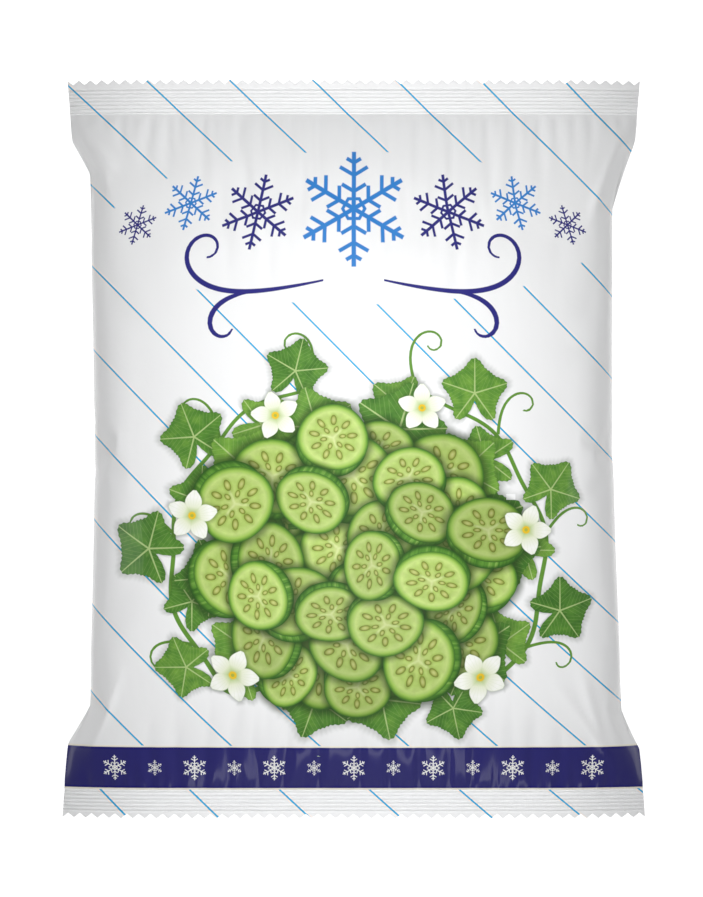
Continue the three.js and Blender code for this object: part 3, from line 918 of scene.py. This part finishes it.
def film_material():
    """White film with stripes, a band and the printed motifs, and a soft gloss"""
    material, sheet, shader = new_material("printed film")
    x, y = flat_place(sheet)
    colour = with_stripes(sheet, bpy.context.scene.print_colours.film[:], x, y)
    colour = with_wreath(sheet, colour, x, y)
    colour = with_band(sheet, colour, y)
    colour, rim = with_vents(sheet, colour, x, y)
    sheet.feed(shader["Base Color"], colour)
    for name, value in FILM_FINISH.items():
        shader[name].default_value = value
    ripple = sheet.noise(sheet.node("ShaderNodeTexCoord").outputs["Object"], 160.0, 3.0, 0.55)
    sheet.feed(shader["Roughness"], sheet.scale_add(ripple, 0.2, 0.32))
    sheet.feed(shader["Normal"], sheet.bump(sheet.scale_add(rim, 3.0, ripple), 0.06, 0.002))
    return material


def smooth(x):
    """A soft step from 0 to 1"""
    x = np.clip(x, 0, 1)
    return x * x * (3 - 2 * x)


def half_width(y, side):
    """Half width of the bag's plan at places along it, on the left (-1) or the right (1)"""
    shape = bpy.context.scene.film_shape
    top = y > 0
    waist_at = np.where(top, EARS["top", side][0], EARS["bottom", side][0])
    shoulder_at = np.where(top, EARS["top", side][1], EARS["bottom", side][1])
    shoulder = np.where(top, shape.top_shoulder, shape.bottom_shoulder)
    seal_half = np.where(top, shape.flat_width / 2 - SEAL_TUCK, shape.flat_width / 2)
    along = y / waist_at
    lean = -SIDE_LEAN * np.clip(along, -1, 1) if side > 0 else 0.0
    waist = shape.waist + lean - WAIST_HOLLOW * np.maximum(0, 1 - along * along)
    flare = np.clip((abs(y) - waist_at) / (shoulder_at - waist_at), 0, 1)
    taper = np.clip((abs(y) - shoulder_at) / (shape.length / 2 - shoulder_at), 0, 1)
    return waist + (shoulder - waist) * flare + (seal_half - shoulder) * taper


def bulge_half_width(y, side):
    """Half width of the filled pouch: it reaches the side folds, but not quite the corners of the ears"""
    low = -EARS["bottom", side][0]
    high = EARS["top", side][0]
    edge = half_width(y, side)
    waist = half_width(np.clip(y, low, high), side)
    return np.minimum(edge, waist + EAR_FILL * (edge - waist))


def corner_droop(x, t):
    """How far the film hangs at places across the bag, at a share of the way from its middle to a seal"""
    shape = bpy.context.scene.film_shape
    out = np.clip((abs(x) - DROOP_START) / DROOP_REACH, 0, 1)
    return shape.droop * smooth((t - DROOP_ALONG) / (1 - DROOP_ALONG)) * out**2


def film_rows():
    """Places along the bag of the film's rows: fine in the crimped seals, wider over the pouch"""
    shape = bpy.context.scene.film_shape
    half = shape.length / 2
    root = half - shape.tooth - TOOTH_ROOM
    pouch_low, pouch_high = -half + shape.bottom_seal, half - shape.top_seal
    low_steps = round((root + pouch_low) / SEAL_ROW)
    high_steps = round((root - pouch_high) / SEAL_ROW)
    turn = np.linspace(-1, 1, POUCH_ROWS + 1)
    middle, reach = (pouch_low + pouch_high) / 2, (pouch_high - pouch_low) / 2
    pouch = middle + reach * (ROW_EVENNESS * turn + (1 - ROW_EVENNESS) * np.sin(turn * math.pi / 2))
    return np.concatenate(
        [
            [-half],
            np.linspace(-root, pouch_low, low_steps, endpoint=False),
            pouch,
            np.linspace(pouch_high, root, high_steps + 1)[1:],
            [half],
        ]
    )


def film_section(y, side, steps):
    """Evenly spaced points of half a section: from the front's middle to the side and on to the back's"""
    shape = bpy.context.scene.film_shape
    pouch_low = -shape.length / 2 + shape.bottom_seal
    pouch_high = shape.length / 2 - shape.top_seal
    t = min(1.0, abs(y - (pouch_low + pouch_high) / 2) / ((pouch_high - pouch_low) / 2))
    fold = shape.seal_height + (shape.fold_height - shape.seal_height) * (1 - t * t)
    crown = shape.seal_height + (shape.crown - shape.seal_height) * (1 - t**CROWN_FALL)
    belly = fold - (fold + BELLY_PRESS) * (1 - t**BELLY_FALL)
    edge = float(half_width(np.array(y), side))
    near_end = float(smooth((t - END_START) / END_REACH))
    bulge = float(bulge_half_width(np.array(y), side)) - FLANGE * near_end
    share = np.sin(np.linspace(0, math.pi / 2, SECTION_STEPS))
    full = FRONT_FULL - FRONT_SLACK * near_end
    front = fold + (crown - fold) * np.maximum(0, 1 - share**full) ** (1 / full) + LAYER_GAP
    back = fold - (fold - belly) * np.maximum(0, 1 - share**BACK_FULL) ** (1 / BACK_ROUND) - LAYER_GAP
    halves = []
    for heights in (front, np.maximum(back, 0)):
        xs = np.append(bulge * share, edge)
        zs = np.append(heights, fold)
        length = np.append(0, np.cumsum(np.hypot(np.diff(xs), np.diff(zs))))
        even = np.linspace(0, length[-1], steps + 1)
        even_x = np.interp(even, length, xs)
        even_z = np.interp(even, length, zs) - corner_droop(even_x, t)
        halves.append((even_x, np.maximum(even_z, 0)))
    (front_x, front_z), (back_x, back_z) = halves
    return side * np.append(front_x, back_x[-2::-1]), np.append(front_z, back_z[-2::-1])


def seal_ridges(y):
    """Height of the crimp ridges along the bag, in both seals"""
    shape = bpy.context.scene.film_shape
    half = shape.length / 2
    ridges = np.zeros_like(y)
    for end, depth, margin in ((1, shape.top_seal, TOP_MARGIN), (-1, shape.bottom_seal, BOTTOM_MARGIN)):
        count = math.floor((depth - shape.tooth - margin) / shape.ridge_pitch)
        into = (end * y - (half - depth)) / shape.ridge_pitch
        crimped = (into > 0) & (into < count)
        ridges += np.where(crimped, shape.ridge_height / 2 * np.sin(into * math.tau), 0)
    return ridges


def from_line(points, start, end):
    """How far along a straight line each point lies, as a share, and how far off it, seen from above"""
    along = np.subtract(end, start)[:2]
    share = np.clip(((points[..., :2] - start[:2]) @ along) / (along @ along), 0, 1)
    return share, np.linalg.norm(points[..., :2] - start[:2] - share[..., None] * along, axis=2)


def ear_creases(points):
    """How far the creases in the ears stand out of the front, fading at both ends"""
    crease = np.zeros(points.shape[:2])
    for start, end in CREASES:
        share, off = from_line(points, start, end)
        crease = np.maximum(crease, np.exp(-((off / CREASE_REACH) ** 2)) * np.sin(share * math.pi))
    return bpy.context.scene.film_shape.crease_height * crease


def gourd_lumps(points):
    """How far the gourds that lie close under the front press it out at each of its points"""
    press = np.zeros(points.shape[:2])
    for name in GOURD_NODES:
        _, off = from_line(points, *gourd_tips(name))
        depth = points[..., 2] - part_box(name)[1].z
        close = smooth((LUMP_DEPTH - depth) / LUMP_DEPTH)
        press = np.maximum(press, np.exp(-((off / LUMP_REACH) ** 2)) * close)
    return bpy.context.scene.film_shape.lump_height * press


def fin_hollow(points):
    """How far the back is raised over the fin seal that lies under it"""
    shape = bpy.context.scene.film_shape
    x, y = points[..., 0], points[..., 1]
    over = smooth((x - FIN_ROOT + FIN_FADE) / FIN_FADE) * smooth((FIN_TIP + FIN_FADE - x) / FIN_FADE)
    to_seal = np.minimum(shape.length / 2 - shape.top_seal - y, y + shape.length / 2 - shape.bottom_seal)
    return shape.fin_room * over * smooth(to_seal / FIN_FADE)


def film_points():
    """Every point of the film, by row along the bag and by column round it, and its place round the tube"""
    shape = bpy.context.scene.film_shape
    rows = film_rows()
    steps = PANEL_COLUMNS // 2
    points = np.zeros((len(rows), 4 * steps + 1, 3))
    for i, y in enumerate(rows):
        left_x, left_z = film_section(y, -1, steps)
        right_x, right_z = film_section(y, 1, steps)
        points[i, :, 0] = np.append(left_x[::-1], right_x[1:])
        points[i, :, 2] = np.append(left_z[::-1], right_z[1:])
    points[:, :, 1] = rows[:, None]
    points = settled(points)
    around = np.linspace(-0.5, 0.5, 4 * steps + 1)
    on_back = abs(around) > 0.25
    points[:, ~on_back, 2] += gourd_lumps(points[:, ~on_back])
    points[:, ~on_back, 2] += ear_creases(points[:, ~on_back])
    points[:, on_back, 2] += fin_hollow(points[:, on_back])
    points[:, :, 2] += seal_ridges(rows)[:, None]
    column = np.arange(4 * steps + 1)
    notch = abs((column - 2 * steps) % COLUMNS_PER_TOOTH - COLUMNS_PER_TOOTH / 2) / (COLUMNS_PER_TOOTH / 2)
    points[-1, :, 1] -= notch * shape.tooth
    points[0, :, 1] += notch * shape.tooth
    points[[0, -1], :, 2] = shape.seal_height - corner_droop(points[[0, -1], :, 0], 1.0)
    return points, around


def doubled(values, axis, wraps):
    """Puts a smooth midpoint after each value along an axis, past the last one too where they wrap round"""
    values = np.moveaxis(values, axis, 0)
    before = np.roll(values, 1, 0)
    after = np.roll(values, -1, 0)
    beyond = np.roll(values, -2, 0)
    if not wraps:
        before[0] = values[0]
        after[-1] = values[-1]
        beyond[-2:] = values[-1]
    middle = (9 * (values + after) - before - beyond) / 16
    both = np.stack((values, middle), 1).reshape(-1, *values.shape[1:])
    return np.moveaxis(both if wraps else both[:-1], 0, axis)


def film_slack(rows, columns):
    """The share of spare film by row along the pouch and by column round it: most beside the seals"""
    shape = bpy.context.scene.film_shape
    around = np.linspace(-0.5, 0.5, columns, endpoint=False)
    to_side = 1 - abs(abs(around) - 0.25) / 0.25
    to_end = abs(np.linspace(-1, 1, rows))
    at_ends = shape.end_slack * smooth((to_end - END_SLACK_FROM) / (1 - END_SLACK_FROM))
    at_sides = shape.side_slack * smooth((to_side - SIDE_SLACK_FROM) / SIDE_SLACK_REACH)
    return np.maximum(at_ends[:, None], at_sides)


def settled(points):
    """Lets the pouch settle as film: a coarse copy gets some slack at its ends and sides, and air pressure"""
    shape = bpy.context.scene.film_shape
    half = shape.length / 2
    along = points[:, 0, 1]
    inside = (along > -half + shape.bottom_seal - 1e-6) & (along < half - shape.top_seal + 1e-6)
    start = points[inside][::2, :-1:2]
    rows, columns = start.shape[:2]
    corner = np.arange(rows * columns).reshape(rows, columns)
    next_one = np.roll(corner, -1, 1)
    faces = np.stack((corner[:-1], next_one[:-1], next_one[1:], corner[1:]), -1).reshape(-1, 4)
    mesh = bpy.data.meshes.new("settling film")
    mesh.from_pydata((start.reshape(-1, 3) * SETTLE_SCALE).tolist(), [], faces.tolist())
    film = bpy.data.objects.new("settling film", mesh)
    bpy.context.collection.objects.link(film)

    on_table = (start[..., 2] < TABLE_TOUCH) & (abs(start[..., :2]) < RESTING_HALF).all(axis=2)
    on_table[[0, -1]] = True
    held = film.vertex_groups.new(name="held")
    held.add(corner[on_table].tolist(), 1.0, "REPLACE")
    slack = film_slack(rows, columns)
    most = slack.max()
    tight = film.vertex_groups.new(name="tight")
    for index, share in enumerate((1 - slack / most).ravel()):
        tight.add([index], share, "REPLACE")
    cloth = film.modifiers.new("film", "CLOTH")
    cloth.collision_settings.use_collision = False
    rules = cloth.settings
    rules.vertex_group_mass = "held"
    rules.vertex_group_shrink = "tight"
    rules.shrink_min = -most
    rules.shrink_max = 0
    for key, value in FILM_CLOTH.items():
        setattr(rules, key, value)
    rules.use_pressure = True
    rules.uniform_pressure_force = shape.pressure
    rules.effector_weights.gravity = 0
    for step in range(1, SETTLE_FRAMES + 1):
        bpy.context.scene.frame_set(step)
    bpy.context.view_layer.objects.active = film
    bpy.ops.object.modifier_apply(modifier=cloth.name)
    co = np.empty(3 * rows * columns)
    mesh.vertices.foreach_get("co", co)
    bpy.context.scene.frame_set(1)
    bpy.data.objects.remove(film)

    moved = co.reshape(rows, columns, 3) / SETTLE_SCALE - start
    side = np.sign(start[..., 0])
    inward = np.maximum(0, -side * moved[..., 0])
    moved[..., 0] += side * (inward - SIDE_PULL * np.tanh(inward / SIDE_PULL))
    far = np.linalg.norm(moved, axis=2, keepdims=True)
    moved *= SETTLE_CAP * np.tanh(far / SETTLE_CAP) / np.maximum(far, 1e-9)
    fine = doubled(doubled(moved, 1, True), 0, False)
    points[inside] += np.concatenate((fine, fine[:, :1]), 1)
    points[..., 2] = np.maximum(points[..., 2], 0)
    return points


def shaped_grid(name, points, map_places):
    """A grid whose points are moved to rows and columns of places, with its map laid the same way"""
    deselect_all()
    rows, columns = points.shape[:2]
    bpy.ops.mesh.primitive_grid_add(x_subdivisions=columns - 1, y_subdivisions=rows - 1, size=2)
    made = bpy.context.object
    made.name = name
    mesh = made.data
    co = np.empty(3 * len(mesh.vertices))
    mesh.vertices.foreach_get("co", co)
    grid = (co.reshape(-1, 3) + 1) / 2
    column = np.rint(grid[:, 0] * (columns - 1)).astype(int)
    row = np.rint(grid[:, 1] * (rows - 1)).astype(int)
    mesh.vertices.foreach_set("co", points[row, column].ravel())
    corner = np.empty(len(mesh.loops), int)
    mesh.loops.foreach_get("vertex_index", corner)
    mesh.uv_layers[0].name = FILM_MAP
    mesh.uv_layers[0].data.foreach_set("uv", map_places[row, column][corner].ravel())
    return made


def close_up():
    """Merges the doubled points of the active piece and shades it smooth, with crisp folds"""
    bpy.ops.object.mode_set(mode="EDIT")
    bpy.ops.mesh.select_all(action="SELECT")
    bpy.ops.mesh.remove_doubles(threshold=1e-6)
    bpy.ops.object.mode_set(mode="OBJECT")
    bpy.ops.object.shade_smooth_by_angle(angle=FOLD_ANGLE)


def join_into(piece, other):
    """Joins another piece into the first"""
    deselect_all()
    other.select_set(True)
    piece.select_set(True)
    bpy.context.view_layer.objects.active = piece
    bpy.ops.object.join()


def film_map(around, y):
    """Places on the map of points at a share of the way round the tube and at a place along it"""
    length = bpy.context.scene.film_shape.length
    u = 0.5 + MAP_SHARE[0] * around
    v = 0.5 + MAP_SHARE[1] * y / length
    return np.stack(np.broadcast_arrays(u, v), axis=-1)


def make_fin(points, around):
    """The fin seal: two layers of the film's edges, welded with lengthwise ridges, flat along the back"""
    shape = bpy.context.scene.film_shape
    back = points[1:-1, abs(around) > 0.25]
    share = np.linspace(0, 1, FIN_COLUMNS + 1)
    x = FIN_ROOT + (FIN_TIP - FIN_ROOT) * share
    fin = np.zeros((len(back), len(x), 3))
    for row, film in zip(fin, back):
        order = np.argsort(film[:, 0])
        hang = (shape.fin_room / 2) * smooth(share * FIN_BEND)
        ridge = shape.fin_thickness / 4 * np.sin(share * FIN_RIDGES * math.tau)
        row[:, 0] = x
        row[:, 1] = film[0, 1]
        row[:, 2] = np.interp(x, film[order, 0], film[order, 2]) - hang + ridge
    places = film_map(0.5 + share * (FIN_TIP - FIN_ROOT) / (2 * shape.flat_width), fin[:, :, 1])
    strip = shaped_grid("fin seal", fin, places)
    layers = strip.modifiers.new("layers", "SOLIDIFY")
    layers.thickness = shape.fin_thickness
    layers.offset = 0
    bpy.ops.object.modifier_apply(modifier=layers.name)
    bpy.ops.object.shade_smooth_by_angle(angle=FOLD_ANGLE)
    return strip


def make_film():
    """The film tube, sealed at both ends: a grid wrapped round and closed, with the fin seal on its back"""
    points, around = film_points()
    film = shaped_grid("printed_film_bag", points, film_map(around, points[:, :, 1]))
    close_up()
    join_into(film, make_fin(points, around))
    return film


def gourd_points(name):
    """Points of a gourd half's solid"""
    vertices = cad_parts[name].data.vertices
    co = np.empty(3 * len(vertices))
    vertices.foreach_get("co", co)
    return co.reshape(-1, 3)


def gourd_tips(name):
    """The two tips of a gourd half: the points of its solid that are farthest apart"""
    points = gourd_points(name)
    first = points[np.linalg.norm(points - points.mean(axis=0), axis=1).argmax()]
    second = points[np.linalg.norm(points - first, axis=1).argmax()]
    return np.array((first, second))


def gourd_place(name):
    """The frame of a gourd half: X along it, Y the way its tips bow, Z out of its skin, from its middle"""
    points = gourd_points(name)
    tips = gourd_tips(name)
    middle = tips.mean(axis=0)
    along = (tips[1] - tips[0]) / np.linalg.norm(tips[1] - tips[0])
    inward = points.mean(axis=0) - middle
    up = np.array((0, 0, math.copysign(1, inward[2])))
    bow = -inward * (1, 1, 0)
    bow -= along * (bow @ along)
    bow /= np.linalg.norm(bow)
    along = np.cross(bow, up)
    origin = middle - bow * bpy.context.scene.gourd_shape.bow
    place = Matrix(np.column_stack((along, bow, up)).tolist()).to_4x4()
    place.translation = origin
    return place


def make_half():
    """One gourd half in its own frame: a domed skin over a cut face that is hollowed a little at the seeds"""
    shape = bpy.context.scene.gourd_shape
    share = np.sin(np.linspace(-1, 1, GOURD_ROWS + 1) * math.pi / 2)[:, None]
    across = np.linspace(-1, 1, GOURD_COLUMNS + 1)
    taper = 1 - shape.taper * share
    radius = shape.radius * np.maximum(0, 1 - abs(share) ** shape.fullness) ** 0.5 * taper
    turn = (across + 1) / 2 * math.pi
    core = np.clip(1 - (across / CORE_WIDTH) ** 2, 0, 1) * np.clip(1 - (share / CORE_LENGTH) ** 2, 0, 1)
    sides = (
        (radius * np.cos(turn), radius * np.sin(turn), SKIN_MAP),
        (radius * across, shape.hollow * core, CUT_MAP),
    )
    shells = []
    for y, z, map_middle in sides:
        points = (shape.length / 2 * share, shape.bow * share**2 + y, z)
        on_map = (0.5 + GOURD_MAP[0] * share, map_middle + GOURD_MAP[1] * across)
        points, on_map = (np.stack(np.broadcast_arrays(*values), axis=-1) for values in (points, on_map))
        shells.append(shaped_grid("gourd half", points, on_map))
    join_into(*shells)
    close_up()
    return shells[0]


def gourd_material():
    """Frozen gourd: green skin with pale streaks, flesh with rows of seeds on the cut face, and frost"""
    material, sheet, shader = new_material("frozen gourd")
    u, v, _ = sheet.split(sheet.node("ShaderNodeUVMap", uv_map=FILM_MAP).outputs[0])
    along = sheet.scale_add(u, 1 / GOURD_MAP[0], -0.5 / GOURD_MAP[0])
    across = sheet.scale_add(v, 1 / GOURD_MAP[1], -CUT_MAP / GOURD_MAP[1])
    on_skin = sheet.ease(v, 0.495, 0.505)
    grain = sheet.noise(sheet.node("ShaderNodeTexCoord").outputs["Object"], 700.0, 4.0, 0.6)
    stretched = sheet.node("ShaderNodeCombineXYZ", sheet.times(u, 2.5), sheet.times(v, 60.0)).outputs[0]
    skin = sheet.ramp(
        sheet.noise(stretched, 2.0),
        (
            (0.35, (0.06, 0.17, 0.02)),
            (0.55, (0.14, 0.31, 0.04)),
            (0.7, (0.36, 0.52, 0.14)),
        ),
    )
    width = sheet.size(across)
    flesh = sheet.ramp(
        sheet.scale_add(grain, 0.1, width),
        (
            (0.1, (0.55, 0.62, 0.28)),
            (0.6, (0.42, 0.54, 0.16)),
            (0.85, (0.50, 0.63, 0.22)),
            (1.0, (0.2, 0.38, 0.06)),
        ),
    )
    cells = sheet.scale_add(along, SEEDS_ALONG, sheet.times(sheet.ease(width, 0.36, 0.40), 0.5))
    ahead = sheet.times(sheet.add(sheet.part(sheet.add(cells, 100.0)), -0.5), 1 / SEED_LENGTH)
    off_row = sheet.least(*(sheet.size(sheet.add(width, -row)) for row in SEED_ROWS))
    off_seed = sheet.length(ahead, sheet.times(off_row, 1 / SEED_WIDTH))
    seed = sheet.times(sheet.ease(off_seed, 1.0, 0.85), sheet.inside(sheet.size(along), 0.88, 0.02))
    seeds = sheet.ramp(
        off_seed,
        (
            (0.4, (0.52, 0.52, 0.24)),
            (0.75, (0.34, 0.36, 0.12)),
            (1.0, (0.17, 0.20, 0.04)),
        ),
    )
    colour = sheet.mix(on_skin, sheet.mix(seed, flesh, seeds), skin)
    frost = sheet.times(sheet.ease(grain, 0.48, 0.72), 0.55)
    sheet.feed(shader["Base Color"], sheet.mix(frost, colour, FROST))
    sheet.feed(shader["Roughness"], sheet.scale_add(frost, 0.5, 0.35))
    shader["Coat Weight"].default_value = 0.3
    sheet.feed(shader["Normal"], sheet.bump(sheet.scale_add(seed, 0.6, grain), 0.35, 0.0005))
    return material


def deselect_all():
    """Leaves nothing selected"""
    for chosen in bpy.context.selected_objects:
        chosen.select_set(False)


class FROZENBAG_OT_film_bag(bpy.types.Operator):
    """Makes the printed film bag"""

    bl_idname = "frozenbag.film_bag"
    bl_label = "Film bag"

    def execute(self, context):
        film = make_film()
        lay_out_print(film)
        film.data.materials.append(film_material())
        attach(film, "root")
        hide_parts("film_bag")
        return {"FINISHED"}


class FROZENBAG_OT_gourds(bpy.types.Operator):
    """Makes the frozen gourd halves that lie loose in the bag"""

    bl_idname = "frozenbag.gourds"
    bl_label = "Gourd halves"

    def execute(self, context):
        half = make_half()
        half.data.materials.append(gourd_material())
        for name in GOURD_NODES:
            piece = bpy.data.objects.new(name.replace("gourd", "frozen_gourd"), half.data.copy())
            context.collection.objects.link(piece)
            piece.data.transform(gourd_place(name))
            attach(piece, "root")
            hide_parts(name)
        bpy.data.objects.remove(half)
        return {"FINISHED"}


def make_table(look):
    """The table: a pale plane that glows softly, a little more for the camera"""
    deselect_all()
    bpy.ops.mesh.primitive_plane_add(size=TABLE_SIZE)
    table = bpy.context.object
    table.name = "table"
    material, sheet, shader = new_material("pale table")
    shader["Base Color"].default_value = look.table
    shader["Roughness"].default_value = TABLE_ROUGHNESS
    shader["Emission Color"].default_value = (1, 1, 1, 1)
    seen = sheet.node("ShaderNodeLightPath").outputs["Is Camera Ray"]
    glow = sheet.scale_add(seen, look.table_white, look.table_glow)
    sheet.feed(shader["Emission Strength"], glow)
    table.data.materials.append(material)


def make_lamps():
    """The lamps: one lights the bag from above, and the panels only show in its gloss"""
    for name, place, size, power, aim, seen_in in LAMPS:
        lamp = bpy.data.lights.new(name, "AREA")
        lamp.shape = "RECTANGLE"
        lamp.size, lamp.size_y = size
        lamp.energy = power
        holder = bpy.data.objects.new(name, lamp)
        bpy.context.collection.objects.link(holder)
        holder.location = place
        holder.rotation_euler = (Vector(aim) - Vector(place)).to_track_quat("-Z", "Y").to_euler()
        holder.visible_camera = False
        holder.visible_diffuse = seen_in == "diffuse"
        holder.visible_glossy = seen_in == "glossy"
    world = bpy.data.worlds.new("studio")
    bpy.context.scene.world = world
    world.use_nodes = True
    background = world.node_tree.nodes["Background"]
    background.inputs["Color"].default_value = (1, 1, 1, 1)
    background.inputs["Strength"].default_value = WORLD_LIGHT


def make_camera(look):
    """The camera, straight over the front of the bag"""
    scene = bpy.context.scene
    camera = bpy.data.cameras.new("camera")
    holder = bpy.data.objects.new("camera", camera)
    bpy.context.collection.objects.link(holder)
    holder.location = (*CAMERA_AT, scene.film_shape.seal_height + look.camera_height)
    camera.sensor_fit = "VERTICAL"
    camera.angle = 2 * math.atan(VIEW_LENGTH / 2 / look.camera_height)
    scene.camera = holder
    scene.view_settings.view_transform = "Standard"


class FROZENBAG_OT_stage(bpy.types.Operator):
    """Makes the table, the lights and the camera"""

    bl_idname = "frozenbag.stage"
    bl_label = "Stage"

    def execute(self, context):
        look = context.scene.stage_look
        make_table(look)
        make_lamps()
        make_camera(look)
        return {"FINISHED"}


class FROZENBAG_PT_panel(bpy.types.Panel):
    """Lists the steps of the bag"""

    bl_label = "Frozen Bag"
    bl_idname = "FROZENBAG_PT_panel"
    bl_space_type = "VIEW_3D"
    bl_region_type = "UI"
    bl_category = "Frozen Bag"

    def draw(self, context):
        for operator in OPERATORS:
            self.layout.operator(operator.bl_idname)
        for group in GROUPS:
            settings = getattr(context.scene, group)
            for name in settings.__annotations__:
                self.layout.prop(settings, name)


GROUPS = {
    "film_shape": FilmShape,
    "gourd_shape": GourdShape,
    "print_colours": PrintColours,
    "stage_look": StageLook,
}
OPERATORS = (FROZENBAG_OT_film_bag, FROZENBAG_OT_gourds, FROZENBAG_OT_stage)


def register():
    for kind in (*GROUPS.values(), *OPERATORS, FROZENBAG_PT_panel):
        bpy.utils.register_class(kind)
    for name, kind in GROUPS.items():
        setattr(bpy.types.Scene, name, PointerProperty(type=kind))


def unregister():
    for name in GROUPS:
        delattr(bpy.types.Scene, name)
    for kind in (FROZENBAG_PT_panel, *reversed(OPERATORS), *reversed(GROUPS.values())):
        bpy.utils.unregister_class(kind)


def main():
    register()
    bpy.ops.frozenbag.film_bag()
    bpy.ops.frozenbag.gourds()
    bpy.ops.frozenbag.stage()


if __name__ == "__main__":
    main()
